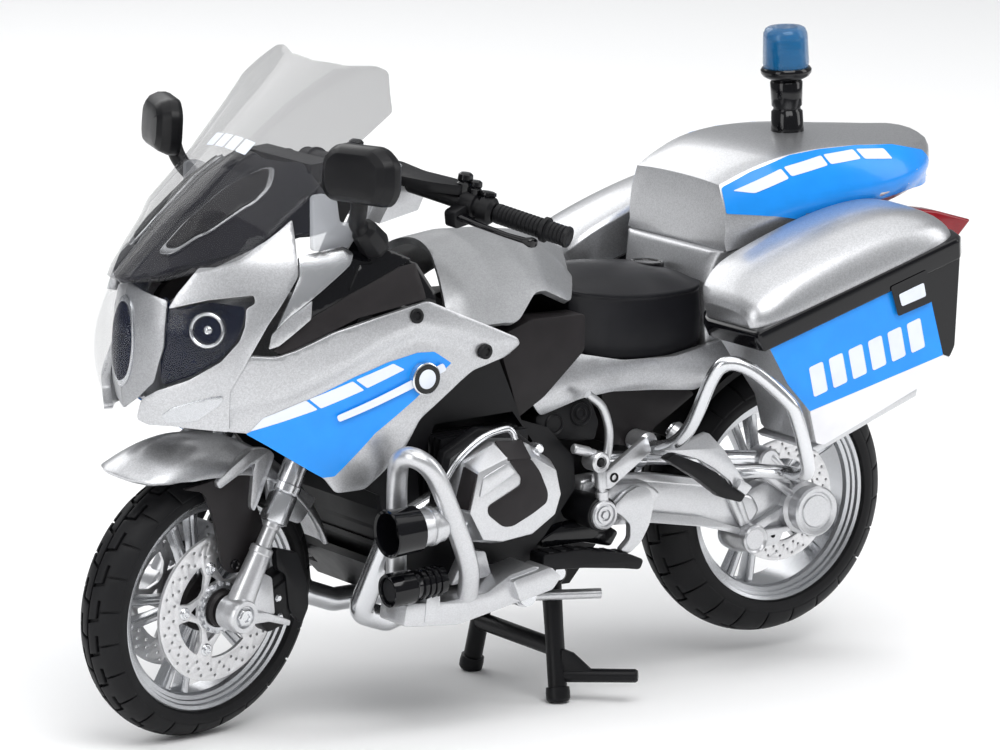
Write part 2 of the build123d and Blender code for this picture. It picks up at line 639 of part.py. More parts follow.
SCREEN_LINE = [(82.2, 85.6), (76.0, 92.4), (66.0, 101.6), (56.0, 110.2), (48.0, 116.0), (42.6, 119.4)]
SCREEN_HALF = [4.0, 13.5, 19.0, 20.4, 20.4, 17.4]
SCREEN_BOW = [1.2, 3.6, 5.4, 5.8, 4.4, 2.0]
SCREEN_THICK = 0.9


def windscreen():
    """The tall clear screen, bowed across and leaning back from the nose tip, with its two brackets."""
    wires = []
    for index, (x, z) in enumerate(SCREEN_LINE):
        before = SCREEN_LINE[max(index - 1, 0)]
        after = SCREEN_LINE[min(index + 1, len(SCREEN_LINE) - 1)]
        along = Vector(after[0] - before[0], 0, after[1] - before[1])
        plane = Plane(origin=(x, 0, z), x_dir=(0, 1, 0), z_dir=along)
        half = SCREEN_HALF[index]
        bow = SCREEN_BOW[index]
        front = [(share * half, bow * share * share) for share in (-1, -0.5, 0, 0.5, 1)]
        back = [(y, fall + SCREEN_THICK) for y, fall in reversed(front)]
        wires.append(Wire.make_polygon([plane.from_local_coords((y, fall, 0)) for y,
            fall in front + back], close=True))
    return Solid.make_loft(wires, ruled=True)


def screen_bracket():
    """The left clear bracket between windscreen and mirror stem."""
    return slab([(58.0, 92.2), (44.0, 91.6), (43.4, 95.4), (50.5, 96.4), (51.5, 100.4),
        (57.0, 98.4)], 21.0, 22.0)


def dash():
    """The instrument binnacle behind the screen."""
    return slab([(50.5, 93.0), (44.5, 91.0), (41.0, 96.6), (46.0, 103.4), (50.5, 103.0)], -11, 11)


def mirror_unit():
    """The left mirror: rounded housing on a short stem."""
    outline = [(-7.4, -5.4), (7.2, -5.4), (8.8, -2.8), (8.6, 3.2), (5.6, 5.7), (-5.4, 5.9), (-8.8, 3.2), (-9.0, -2.6)]
    plane = Plane(origin=(51.6, 32.5, 105.0), x_dir=(0.2, -0.98, 0.0), z_dir=(0.98, 0.2, 0.06))
    face = Face(Wire.make_polygon([plane.from_local_coords((x, y, 0)) for x, y in outline], close=True))
    housing = Solid.extrude(face, plane.z_dir * 4.6)
    stem = join(rod((53.4, 31.0, 101.0), (51.6, 29.0, 96.4), 1.5), rod((51.6, 29.0, 96.4),
        (46.0, 24.4, 90.4), 1.3))
    back = Face(Wire.make_polygon([plane.from_local_coords((x * 0.86, y * 0.86, 0)) for x, y in outline],
        close=True))
    glass = Solid.extrude(back, plane.z_dir * -0.5)
    return join(housing, stem), glass


def tank_cover():
    """The tank cover with its raised spine."""
    return hollow_loft([
        (31.0, (16.5, 15.5, 6.0, 80.4, 84.0, 86.0)),
        (20.0, (21.5, 18.0, 7.5, 74.6, 82.6, 87.4)),
        (4.0, (17.6, 15.4, 6.6, 72.6, 79.6, 85.0)),
        (-12.6, (8.0, 7.6, 3.0, 71.0, 76.0, 79.4)),
    ], SKIN)


def knee_panel():
    """The left dark panel between tank, seat and side panel."""
    return slab([(15.6, 70.4), (8.0, 72.4), (-3.2, 72.2), (-3.2, 66.0), (5.4, 58.2), (11.0, 55.0),
        (12.0, 63.0)], 12.5, 18.0)


def inner_shroud():
    """The left dark inner fairing: from behind the front wheel round the cylinder to the belly."""
    outline = [
        (56, 58), (38.6, 58.4), (26, 65.4), (16, 67.4), (10.4, 54.4), (4.6, 52.4), (-1.0, 46.4),
            (-1.6, 40.6), (5.0, 32.6),
        (9.6, 28.6), (12.4, 23.0), (30, 23.0), (38, 31), (40.6, 44), (46, 46.6)]
    opening = [(32.6, 47.6), (29.0, 55.6), (12.4, 56.2), (8.0, 50.4), (8.4, 41.6), (13.8, 35.6),
        (27.6, 35.8), (32.0, 41.6)]
    return slab(outline, SHROUD_Y, SHROUD_Y + SKIN) - slab(opening, SHROUD_Y - 5, SHROUD_Y + 5)


def belly_pan():
    """The pan that closes the fairing under the engine."""
    half = SHROUD_Y + SKIN
    return slab([(12.4, 23.0), (30, 23.0), (38, 31), (38, 29.6), (30.4, 21.6), (11.4, 21.6)], -half, half)


def seat():
    """The rider's seat, with the round socket for a figure's peg on its top."""
    cushion = hollow_loft([
        (-3.6, (9.0, 9.6, 5.0, 65.4, 72.0, 76.2)),
        (-12.0, (11.4, 12.4, 7.0, 62.6, 71.6, 77.4)),
        (-24.0, (13.4, 14.4, 8.0, 62.6, 71.4, 77.2)),
        (-35.0, (13.8, 13.8, 7.0, 64.6, 71.0, 75.4)),
    ], SKIN)
    socket_x, socket_low = SEAT_SOCKET
    post = rod((socket_x, 0, socket_low - SKIN), (socket_x, 0, 76.4), SOCKET_R + SKIN)
    return join(cushion, post) - rod((socket_x, 0, socket_low), (socket_x, 0, 90), SOCKET_R)


def tail_cover():
    """The left silver subframe cover below the seat."""
    outline = [
        (5.2, 54.6), (7.9, 57.7), (-1.3, 65.2), (-12.6, 62.4), (-24, 62.4), (-35.4, 64.4),
            (-36.2, 70.0), (-66, 79.0),
        (-74, 76.0), (-60, 66.0), (-36, 57.6), (-30.6, 55.2), (-10.4, 57.2), (-3.3, 56.8)]
    bosses = [block(x - 3, x + 3, 17.0, CASE_INNER_Y, z - 1.5, z + 1.5) for x, z in ((-42.0, 61.5),
        (-60.0, 69.5))]
    return join(slab(outline, 13.8, 17.0), *bosses)


def case_tower():
    """The silver support under the top case: a hollow upright and a carrier plate."""
    outline = [(-36.4, 66.0), (-37.4, 79.2), (-62.0, 84.0), (-80.0, 88.0), (-76.0, 80.0), (-60.0, 70.0),
        (-46.0, 64.0)]
    plate = skin_loft([
        (-38.6, hood(15.6, 15.6, 15.6, 79.6, 80.0, 80.7)),
        (-66.0, hood(16.4, 16.4, 16.4, 84.6, 85.0, 85.8)),
        (-82.0, hood(15.6, 15.6, 15.6, 87.4, 87.8, 88.6)),
    ])
    inside = [(-38.2, 64.0), (-38.8, 78.2), (-62.0, 82.4), (-77.0, 85.6), (-74.0, 80.0), (-59.0, 71.0),
        (-46.0, 62.0)]
    return join(slab(outline, -13.4, 13.4) - slab(inside, -13.4 + SKIN, 13.4 - SKIN), plate)


def side_box():
    """The dark battery and airbox cover on the left, below the seat."""
    return slab([(-5, 56.4), (-11, 56.6), (-30.0, 55.0), (-32.0, 54.0), (-22.6, 43.6), (-12.4, 47.0),
        (-2.0, 48.2)], 6.0, 12.6)


def mudguard():
    """The dark inner mudguard between the rear wheel and the seat."""
    outer = disc(REAR_AXLE[0], REAR_AXLE[2], -8.6, 8.6, REAR_TYRE_R + 2.6)
    inner = disc(REAR_AXLE[0], REAR_AXLE[2], -9.6, 9.6, REAR_TYRE_R + 1.4)
    keep = slab([(-56, 30), (-27, 47), (-30, 62), (-88, 62), (-84, 50)], -9, 9)
    return (outer - inner) & keep


def top_case():
    """The top case, its sides swelling outwards and its lid rising towards the back."""
    return hollow_loft([
        (-36.9, (16.4, 15.8, 13.2, 80.6, 84.0, 92.6)),
        (-50.0, (17.0, 19.2, 14.8, 82.8, 88.0, 97.2)),
        (-66.0, (17.4, 20.0, 15.2, 85.8, 91.0, 98.6)),
        (-81.0, (15.6, 17.0, 13.0, 88.6, 92.6, 98.0)),
        (-89.6, (9.0, 9.6, 7.6, 91.0, 93.8, 97.4)),
    ], SKIN)


def beacon():
    """The flashing beacon: grooved pole with flange, clear dome and the lamp inside."""
    pole = join(
        rod(beacon_at(0.0), beacon_at(0.27), 3.0), rod(beacon_at(0.27), beacon_at(0.31), 2.6),
        rod(beacon_at(0.31), beacon_at(0.55), 3.0), rod(beacon_at(0.55), beacon_at(0.64), 4.7))
    dome = rod(beacon_at(0.64), beacon_at(1.07), 4.3) - rod(beacon_at(0.6), beacon_at(1.02), 3.6)
    lamp = rod(beacon_at(0.6), beacon_at(0.84), 2.9)
    return join(pole, lamp), dome


def case_piece(outline, inset_inner=0.0, inset_outer=0.0):
    """A slab drawn in the pannier's own tilted frame, across the pannier's width less two insets."""
    return slab(in_case_frame(outline), CASE_INNER_Y + inset_inner, CASE_OUTER_Y - inset_outer)


def pannier_shell():
    """The left pannier's lower half, a hollow tub."""
    outside = case_piece([(0.8, -3.4), (6.2, -18.0), (6.0, -24.4), (7.6, -25.4), (36.6, -23.0), (40.4, -20.6),
        (46.4, -3.4)])
    room = [(2.4, -2.0), (7.8, -18.0), (7.8, -23.6), (36.0, -21.6), (39.2, -19.8), (44.8, -2.0)]
    return outside - case_piece(room, CASE_WALL, CASE_WALL)


def pannier_rim():
    """The dark band between the left pannier's two halves, a little wider than both."""
    band = case_piece([(-0.6, -3.4), (48.0, -3.4), (48.6, 0), (-0.6, 0)], -0.4, -0.3)
    opening = [(3.4, -5.0), (44.4, -5.0), (44.4, 2.0), (3.4, 2.0)]
    return band - case_piece(opening, CASE_WALL, CASE_WALL)


def pannier_lid():
    """The left pannier's domed lid, falling away towards its outer face."""
    full = [(-0.4, 0), (48.0, 0), (46.8, 3.0), (42.0, 6.4), (28.0, 9.2), (12.0, 9.0), (2.6, 5.4)]
    edge = [(-0.4, 0), (48.0, 0), (47.0, 1.8), (42.6, 4.0), (28.4, 5.8), (12.4, 5.6), (2.2, 3.2)]
    shoulder_y = CASE_OUTER_Y - LID_SHOULDER
    rings = []
    for outline, y in ((full, shoulder_y), (edge, CASE_OUTER_Y)):
        rings.append(Wire.make_polygon([(x, y, z) for x, z in in_case_frame(outline)], close=True))
    dome = join(case_piece(full, 0, LID_SHOULDER), Solid.make_loft(rings, ruled=True))
    room = [(3.4, -1.0), (44.4, -1.0), (41.6, 4.0), (28.0, 6.8), (12.4, 6.6), (5.0, 4.4)]
    return dome - case_piece(room, CASE_WALL, LID_SHOULDER - 1.0)


def tail_lamp():
    """The red tail lamps at the back of each pannier and the middle one under the top case."""
    return slab([(-66.0, 79.6), (-67.0, 83.8), (-77.4, 87.6), (-90.4, 82.8), (-85.0, 79.2)], 14.0, 19.6)


def plate_holder():
    """The bracket of the registration plate, hanging behind the rear wheel."""
    outline = [(-76, 74.4), (-80, 75.6), (-89.3, 65.0), (-91.4, 56.4), (-90.0, 56.0), (-87.4, 63.4),
        (-78.0, 72.0)]
    return slab(outline, -4, 4)


def blank_plate():
    """The blank registration plate."""
    return slab([(-89.6, 66.2), (-92.75, 53.0), (-91.9, 52.8), (-88.8, 66.0)], -9, 9)


def screws():
    """The dark screws of the side panels, two on each side."""
    heads = [rod((36.4, 26.2, 76.8), (36.4, 27.6, 76.8), 1.3), rod((22.8, 25.2, 69.2),
        (22.8, 26.7, 69.2), 1.3)]
    return both_sides(group(heads))


def pins():
    """Every fixed pin and shaft of the frame, the rear axle included."""
    axle_x, _, axle_z = REAR_AXLE
    stand_x, stand_z = STAND_PIVOT
    prop_x, _, prop_z = SIDE_STAND_PIVOT
    return group([
        join(disc(axle_x, axle_z, -9.6, 14.0, AXLE_R), disc(axle_x, axle_z, -9.6, -7.9, 2.8)),
        disc(-10.5, 36.6, -7.0, 16.0, 1.5),
        disc(stand_x, stand_z, -12.6, 12.6, STAND_PIN_R),
        join(disc(prop_x, prop_z, 7.0, 14.6, PROP_PIN_R), disc(prop_x, prop_z, 13.9, 14.8, 1.8)),
    ])


def bodywork():
    """Covers, screen, lamps and luggage, the outermost pieces first."""
    nose, lens, panel, upper = fairing()
    mirror_left, glass_left = mirror_unit()
    pole, dome = beacon()
    return {
        "panel_screws": screws(),
        "headlight_lens": lens,
        "windscreen": group([windscreen(), screen_bracket(), other_side(screen_bracket())]),
        "mirrors": both_sides(mirror_left),
        "mirror_glasses": both_sides(glass_left),
        "side_panel_left": panel,
        "side_panel_right": other_side(panel),
        "nose_fairing": nose,
        "upper_panels": both_sides(upper),
        "headlight_bucket": headlight_inner(),
        "inner_cowl": inner_cowl(),
        "dash": dash(),
        "tank_cover": tank_cover(),
        "knee_panels": both_sides(knee_panel()),
        "rider_seat": seat(),
        "tail_covers": both_sides(tail_cover()),
        "beacon_dome": dome,
        "beacon_pole": pole,
        "top_case": top_case(),
        "case_tower": case_tower(),
        "pannier_shells": both_sides(pannier_shell()),
        "pannier_rims": both_sides(pannier_rim()),
        "pannier_lids": both_sides(pannier_lid()),
        "tail_lamps": both_sides(tail_lamp()),
        "plate_holder": group([blank_plate(), plate_holder()]),
        "head_covers": both_sides(head_cover()),
        "pannier_guards": both_sides(pannier_guard()),
        "crash_bars": both_sides(crash_bar()),
        "fog_lamps": group([both_sides(piece) for piece in fog_lamp()]),
        "spot_lamps": both_sides(spot_lamp()),
    }


def machinery():
    """Engine, exhaust, swingarm, pegs and frame, the outermost pieces first."""
    pipes, silencer = exhaust()
    carriers = group([gear_lever(), both_sides(passenger_peg()), both_sides(peg_carrier())])
    return {
        "cylinders": both_sides(cylinder()),
        "exhaust_pipes": pipes,
        "silencer": silencer,
        "peg_carriers": carriers,
        "footrests": group([footrests(), both_sides(passenger_pad())]),
        "swingarm": swingarm(),
        "inner_shrouds": both_sides(inner_shroud()),
        "belly_pan": belly_pan(),
        "side_boxes": both_sides(side_box()),
        "rear_mudguard": mudguard(),
        "engine_block": engine_block(),
        "chassis": chassis(),
    }


def boxes_meet(first, second):
    """Whether two pieces' bounding boxes overlap."""
    a = first.bounding_box()
    b = second.bounding_box()
    apart = (a.min.X > b.max.X or b.min.X > a.max.X or a.min.Y > b.max.Y or b.min.Y > a.max.Y
             or a.min.Z > b.max.Z or b.min.Z > a.max.Z)
    return not apart


def fitted(pieces):
    """Each piece with the space of the pieces before it cut away, so that none overlap."""
    done = {}
    for name, shape in pieces.items():
        kept = []
        for solid in shape.solids():
            parts = [solid]
            for tool in [*(tool for tools in done.values() for tool in tools), *kept]:
                if boxes_meet(solid, tool):
                    parts = [piece for part in parts for piece in (Part() + part - tool).solids()]
            kept.extend(part for part in parts if part.volume > CRUMB)
        done[name] = kept
    return {name: group(kept) for name, kept in done.items()}


def main():
    """Write every piece as its own file."""
    os.makedirs("parts", exist_ok=True)
    frame = fitted({"frame_pins": pins(), **bodywork(), **machinery()})
    stands = {"centre_stand": centre_stand(), "side_stand": side_stand()}
    for name, shape in {**frame, **front_end(), **front_wheel(), **rear_wheel(), **stands}.items():
        export_step(shape, f"parts/{name}.step")


main()
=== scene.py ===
import json
import math

import bmesh
import bpy
import numpy as np
from mathutils import Matrix, Vector, geometry


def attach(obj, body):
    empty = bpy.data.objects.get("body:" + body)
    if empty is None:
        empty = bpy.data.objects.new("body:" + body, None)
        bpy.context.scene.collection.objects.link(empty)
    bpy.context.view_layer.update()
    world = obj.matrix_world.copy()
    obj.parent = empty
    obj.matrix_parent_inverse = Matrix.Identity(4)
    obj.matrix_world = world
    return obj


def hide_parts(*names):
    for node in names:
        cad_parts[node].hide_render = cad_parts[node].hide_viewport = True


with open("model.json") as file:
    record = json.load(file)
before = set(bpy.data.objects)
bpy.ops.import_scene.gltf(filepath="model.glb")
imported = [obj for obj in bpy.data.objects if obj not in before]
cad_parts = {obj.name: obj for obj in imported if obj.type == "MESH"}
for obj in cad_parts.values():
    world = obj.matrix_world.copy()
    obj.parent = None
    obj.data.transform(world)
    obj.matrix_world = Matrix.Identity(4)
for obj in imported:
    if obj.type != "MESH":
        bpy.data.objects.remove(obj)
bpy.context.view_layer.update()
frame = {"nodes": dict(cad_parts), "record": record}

# The toy police motorcycle's looks. Shapes are written in millimetres in the model's frame
# (+X forward, +Y the rider's left, +Z up) and become metres in piece().

MM = 0.001
# The eye of the camera. Some outlines are moved onto curved surfaces along the line of sight from here.
EYE = Vector((604.3, 895.3, 274.6))
STEER_RAKE = math.radians(25.9)
STEER_ANGLE = math.radians(10.6)
STEER_FOOT = Vector((77.2, 0.0, 0.0))
STEER_UP = Vector((-math.sin(STEER_RAKE), 0.0, math.cos(STEER_RAKE)))
STEER_TURN = Matrix.Rotation(STEER_ANGLE, 4, STEER_UP)
FRONT_AXLE = Vector((67.5, 0.0, 24.95))
REAR_AXLE = Vector((-56.25, 0.0, 30.0))


# ---- materials ------------------------------------------------------------
GRAIN_DEPTH = 0.00005
FLAKE_DEPTH = 0.00003
FLAKE_SCALE = 5200.0


def material(name, base, roughness, metallic=0.0, coat=0.0, alpha=1.0, specular=0.5):
    """A principled material with its plain values set on the shader's own sockets."""
    mat = bpy.data.materials.new(name)
    mat.use_nodes = True
    shader = mat.node_tree.nodes["Principled BSDF"]
    shader.inputs["Base Color"].default_value = (*base, 1)
    shader.inputs["Roughness"].default_value = roughness
    shader.inputs["Metallic"].default_value = metallic
    shader.inputs["Coat Weight"].default_value = coat
    shader.inputs["Coat Roughness"].default_value = 0.08
    shader.inputs["Alpha"].default_value = alpha
    shader.inputs["IOR"].default_value = 1.5
    shader.inputs["Specular IOR Level"].default_value = specular
    mat.diffuse_color = (*base, 1)
    return mat


def node(mat, kind, **inputs):
    """A node of a material with some of its inputs set."""
    made = mat.node_tree.nodes.new(kind)
    for key, value in inputs.items():
        made.inputs[key].default_value = value
    return made


def object_coords(mat):
    """The piece's own coordinates, in metres."""
    return node(mat, "ShaderNodeTexCoord").outputs["Object"]


def link(mat, source, target):
    mat.node_tree.links.new(source, target)


def noise(mat, scale, detail=3.0):
    """A noise texture in the piece's own coordinates."""
    tex = node(mat, "ShaderNodeTexNoise", Scale=scale, Detail=detail, Roughness=0.55)
    link(mat, object_coords(mat), tex.inputs["Vector"])
    return tex


def vary(mat, low, high, scale):
    """Lets the colour drift between two tones, by a noise through a ramp."""
    ramp = node(mat, "ShaderNodeValToRGB")
    ramp.color_ramp.elements[0].position = 0.35
    ramp.color_ramp.elements[1].position = 0.65
    ramp.color_ramp.elements[0].color = (*low, 1)
    ramp.color_ramp.elements[1].color = (*high, 1)
    link(mat, noise(mat, scale).outputs["Fac"], ramp.inputs["Fac"])
    link(mat, ramp.outputs["Color"], mat.node_tree.nodes["Principled BSDF"].inputs["Base Color"])


def grain(mat, scale, strength):
    """A fine surface bump."""
    bump = node(mat, "ShaderNodeBump", Strength=strength, Distance=GRAIN_DEPTH)
    link(mat, noise(mat, scale, detail=2.0).outputs["Fac"], bump.inputs["Height"])
    link(mat, bump.outputs["Normal"], mat.node_tree.nodes["Principled BSDF"].inputs["Normal"])


def metal_flake(name, base, roughness, metallic, coat, depth, strength=0.25):
    """Silver paint: bright and dark flakes in the colour and a fine sparkle in the normal."""
    mat = material(name, base, roughness, metallic, coat)
    flake = node(mat, "ShaderNodeTexVoronoi", Scale=FLAKE_SCALE)
    link(mat, object_coords(mat), flake.inputs["Vector"])
    tint = node(mat, "ShaderNodeSeparateColor")
    link(mat, flake.outputs["Color"], tint.inputs["Color"])
    ramp = node(mat, "ShaderNodeValToRGB")
    ramp.color_ramp.elements[0].color = (*[c * (1 - depth) for c in base], 1)
    ramp.color_ramp.elements[1].color = (*[min(1.0, c * (1 + depth)) for c in base], 1)
    link(mat, tint.outputs["Red"], ramp.inputs["Fac"])
    link(mat, ramp.outputs["Color"], mat.node_tree.nodes["Principled BSDF"].inputs["Base Color"])
    bump = node(mat, "ShaderNodeBump", Strength=strength, Distance=FLAKE_DEPTH)
    link(mat, tint.outputs["Green"], bump.inputs["Height"])
    link(mat, bump.outputs["Normal"], mat.node_tree.nodes["Principled BSDF"].inputs["Normal"])
    return mat


def plastic(name, base, roughness, coat=0.0, bump=0.05, scale=1800.0, spread=0.12):
    """Moulded plastic: a slightly uneven colour and sheen, and a very fine surface."""
    mat = material(name, base, roughness, coat=coat, specular=0.22)
    low = [c * (1 - spread) for c in base]
    high = [min(1.0, c * (1 + spread)) for c in base]
    vary(mat, low, high, 160.0)
    sheen = node(mat, "ShaderNodeMapRange")
    sheen.inputs["To Min"].default_value = roughness * 0.85
    sheen.inputs["To Max"].default_value = min(1.0, roughness * 1.15)
    link(mat, noise(mat, 420.0).outputs["Fac"], sheen.inputs["Value"])
    link(mat, sheen.outputs["Result"], mat.node_tree.nodes["Principled BSDF"].inputs["Roughness"])
    grain(mat, scale, bump)
    return mat


def clear(name, base, alpha, roughness=0.03):
    """Thin clear plastic, slightly tinted, with a faint haze."""
    mat = material(name, base, roughness, alpha=alpha, specular=0.4, coat=0.1)
    haze = node(mat, "ShaderNodeMapRange")
    haze.inputs["To Min"].default_value = roughness
    haze.inputs["To Max"].default_value = roughness * 2.5
    link(mat, noise(mat, 90.0).outputs["Fac"], haze.inputs["Value"])
    link(mat, haze.outputs["Result"], mat.node_tree.nodes["Principled BSDF"].inputs["Roughness"])
    return mat


SILVER = metal_flake("silver_flake", (0.52, 0.525, 0.54), 0.34, 0.85, 0.35, 0.12, 0.10)
TANK = metal_flake("tank_flake", (0.36, 0.365, 0.375), 0.42, 0.65, 0.15, 0.10, 0.10)
CAST = metal_flake("cast_paint", (0.60, 0.605, 0.62), 0.30, 0.80, 0.25, 0.06, 0.06)
CHROME = metal_flake("bright_plate", (0.70, 0.71, 0.73), 0.20, 0.95, 0.0, 0.04, 0.04)
RIM = metal_flake("rim_paint", (0.55, 0.56, 0.58), 0.26, 0.9, 0.1, 0.06, 0.05)
DISC = metal_flake("disc_steel", (0.72, 0.72, 0.73), 0.36, 0.8, 0.0, 0.06, 0.05)
GLOSS = plastic("gloss_black", (0.003, 0.003, 0.004), 0.10, coat=0.3, bump=0.0)
MATT = plastic("matt_black", (0.006, 0.006, 0.007), 0.40, bump=0.06)
DARK = plastic("dark_grey", (0.016, 0.014, 0.015), 0.45, bump=0.06)
SEAT = plastic("seat_black", (0.009, 0.009, 0.011), 0.33, bump=0.10, scale=2600.0)
MIRROR_BACK = plastic("mirror_black", (0.006, 0.006, 0.007), 0.36, bump=0.05)
COWL = plastic("cowl_smoke", (0.004, 0.005, 0.012), 0.12, coat=0.3, bump=0.0)
LAMP_BLUE = plastic("lamp_dark", (0.003, 0.005, 0.018), 0.14, coat=0.2, bump=0.0)
RUBBER = plastic("tyre_rubber", (0.006, 0.006, 0.007), 0.55, bump=0.12, scale=1500.0)
BLUE = plastic("blue_film", (0.012, 0.270, 0.830), 0.25, coat=0.3, bump=0.0, spread=0.05)
WHITE = plastic("pale_block", (0.72, 0.76, 0.84), 0.35, bump=0.03, spread=0.03)
LOWER_WHITE = plastic("white_band", (0.80, 0.80, 0.83), 0.30, coat=0.2, bump=0.02, spread=0.03)
RED = plastic("tail_red", (0.22, 0.004, 0.010), 0.14, coat=0.4, bump=0.0)
STAND = plastic("stand_black", (0.005, 0.005, 0.006), 0.38, bump=0.06)
GLASS = clear("clear_screen", (0.035, 0.035, 0.04), 0.30)
LENS = clear("clear_lens", (0.05, 0.055, 0.07), 0.10)
# A pale, half-opaque clear plastic. Its whitish tint stands in for the bright glints along thick clear
# plastic edges: a painted highlight.
EDGE = clear("clear_painted_glint", (0.70, 0.72, 0.76), 0.42, 0.06)
DOME = clear("blue_dome", (0.01, 0.14, 0.34), 0.60)
GLASS_MIRROR = material("mirror_face", (0.80, 0.81, 0.83), 0.04, 1.0)
vary(GLASS_MIRROR, (0.76, 0.77, 0.79), (0.83, 0.84, 0.86), 60.0)

SLOT_LOOK = {
    "silver_paint": SILVER, "tank_silver": TANK, "clear_plastic": GLASS, "lamp_dark": LAMP_BLUE,
    "gloss_black": GLOSS, "matt_black": MATT, "dark_grey": DARK, "grip_rubber": RUBBER, "blue_panel": BLUE,
    "beacon_blue": DOME, "tail_red": RED, "mirror_face": GLASS_MIRROR, "engine_black": MATT,
    "cast_silver": CAST, "bright_tube": CHROME, "silencer_steel": CHROME, "lamp_black": GLOSS,
    "pin_steel": CHROME, "rim_silver": RIM, "disc_steel": DISC, "tyre_rubber": RUBBER,
    "stand_black": STAND, "stand_silver": CAST,
}
for part in frame["record"]["subparts"]:
    cad = frame["nodes"][part["node"]]
    for place in cad.material_slots:
        place.material = SLOT_LOOK[part["material_slot"]]


# ---- mesh tools -----------------------------------------------------------
BEVEL_FROM = math.radians(28)
TOUCHING = 0.01 * MM


def bake(obj):
    """Makes a piece's modifiers part of its mesh."""
    graph = bpy.context.evaluated_depsgraph_get()
    mesh = bpy.data.meshes.new_from_object(obj.evaluated_get(graph))
    obj.modifiers.clear()
    obj.data = mesh
    return obj


def piece(name, points, faces, look, body="frame", bevel=0.0, segments=2, smooth=35, slot=None):
    """A mesh piece from points in mm: edges rounded, shaded smooth up to an angle, riding on a body."""
    mesh = bpy.data.meshes.new(name)
    mesh.from_pydata([Vector(p) * MM for p in points], [], faces)
    mesh.validate()
    shape = bmesh.new()
    shape.from_mesh(mesh)
    bmesh.ops.remove_doubles(shape, verts=shape.verts, dist=TOUCHING)
    bmesh.ops.recalc_face_normals(shape, faces=shape.faces)
    shape.to_mesh(mesh)
    shape.free()
    obj = bpy.data.objects.new(name, mesh)
    bpy.context.collection.objects.link(obj)
    if bevel:
        edge = obj.modifiers.new("edge", "BEVEL")
        edge.width = bevel * MM
        edge.segments = segments
        edge.limit_method = "ANGLE"
        edge.angle_limit = BEVEL_FROM
        edge.use_clamp_overlap = True
        edge.miter_outer = "MITER_ARC"
    bake(obj)
    obj.data.materials.clear()
    obj.data.materials.append(look)
    obj.data.shade_smooth()
    obj.data.set_sharp_from_angle(angle=math.radians(smooth))
    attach(obj, body)
    return obj


def mirrored(points):
    """The same points on the rider's right."""
    return [Vector((p[0], -p[1], p[2])) for p in points]


def pair(name, points, faces, look, body, **options):
    """A left piece and its twin on the right."""
    left = piece(name + "_left", points, faces, look, body, **options)
    right = piece(name + "_right", mirrored(points), faces, look, body, **options)
    return left, right


def curve_through(points, count):
    """A smooth curve through points (tuples of equal length), as that many samples."""
    pts = np.array(points, float)
    ends = [2 * pts[0] - pts[1], *pts, 2 * pts[-1] - pts[-2]]
    out = []
    for t in np.linspace(0, len(pts) - 1, count):
        i = min(int(t), len(pts) - 2)
        f = t - i
        a, b, c, d = ends[i], ends[i + 1], ends[i + 2], ends[i + 3]
        bend = 2 * a - 5 * b + 4 * c - d
        twist = 3 * b - a - 3 * c + d
        out.append(0.5 * (2 * b + (c - a) * f + bend * f * f + twist * f ** 3))
    return np.array(out)


def refine(outline, step):
    """A closed outline with points no further apart than step."""
    out = []
    for i in range(len(outline)):
        a = np.array(outline[i], float)
        b = np.array(outline[(i + 1) % len(outline)], float)
        parts = max(1, int(math.ceil(np.linalg.norm(b - a) / step)))
        out.extend(tuple(a + (b - a) * k / parts) for k in range(parts))
    return out


def rounded(outline, radius, steps=4):
    """An outline with its corners rounded."""
    out = []
    count = len(outline)
    for i in range(count):
        here = np.array(outline[i], float)
        before = np.array(outline[i - 1], float) - here
        after = np.array(outline[(i + 1) % count], float) - here
        reach = min(radius, np.linalg.norm(before) * 0.45, np.linalg.norm(after) * 0.45)
        a = here + before / np.linalg.norm(before) * reach
        b = here + after / np.linalg.norm(after) * reach
        for k in range(steps + 1):
            f = k / steps
            out.append(tuple((1 - f) ** 2 * a + 2 * f * (1 - f) * here + f * f * b))
    return out


def fill(outline, cell):
    """A fine triangle net inside a flat outline: its points and its triangles."""
    border = refine(outline, cell)
    poly = np.array(border)
    low, high = poly.min(0), poly.max(0)
    inner = []
    starts, ends = poly, np.roll(poly, -1, 0)
    run = ends - starts
    length = (run ** 2).sum(1)
    length[length < 1e-12] = 1e-12
    row = 0
    v = low[1] + cell * 0.5
    while v < high[1]:
        u = low[0] + cell * (0.25 if row % 2 else 0.75)
        while u < high[0]:
            p = np.array((u, v))
            along = np.clip(((p - starts) * run).sum(1) / length, 0, 1)
            gap = np.sqrt((((starts + run * along[:, None]) - p) ** 2).sum(1)).min()
            cross = (starts[:, 1] > v) != (ends[:, 1] > v)
            at = starts[:, 0] + (v - starts[:, 1]) * run[:, 0] / np.where(run[:, 1] == 0, 1e-9, run[:, 1])
            if (cross & (u < at)).sum() % 2 == 1 and gap > 0.45 * cell:
                inner.append((u, v))
            u += cell
        v += cell * 0.87
        row += 1
    every = [Vector(p) for p in [*border, *inner]]
    verts, _, faces, _, _, _ = geometry.delaunay_2d_cdt(every, [], [list(range(len(border)))], 1, 1e-6)
    return verts, faces


def skin_normal(surface, u, v):
    """The direction square to a surface at a place, from its slopes. Which side it points to is left open."""
    h = 0.15
    du = surface(u + h, v) - surface(u - h, v)
    dv = surface(u, v + h) - surface(u, v - h)
    return du.cross(dv).normalized()


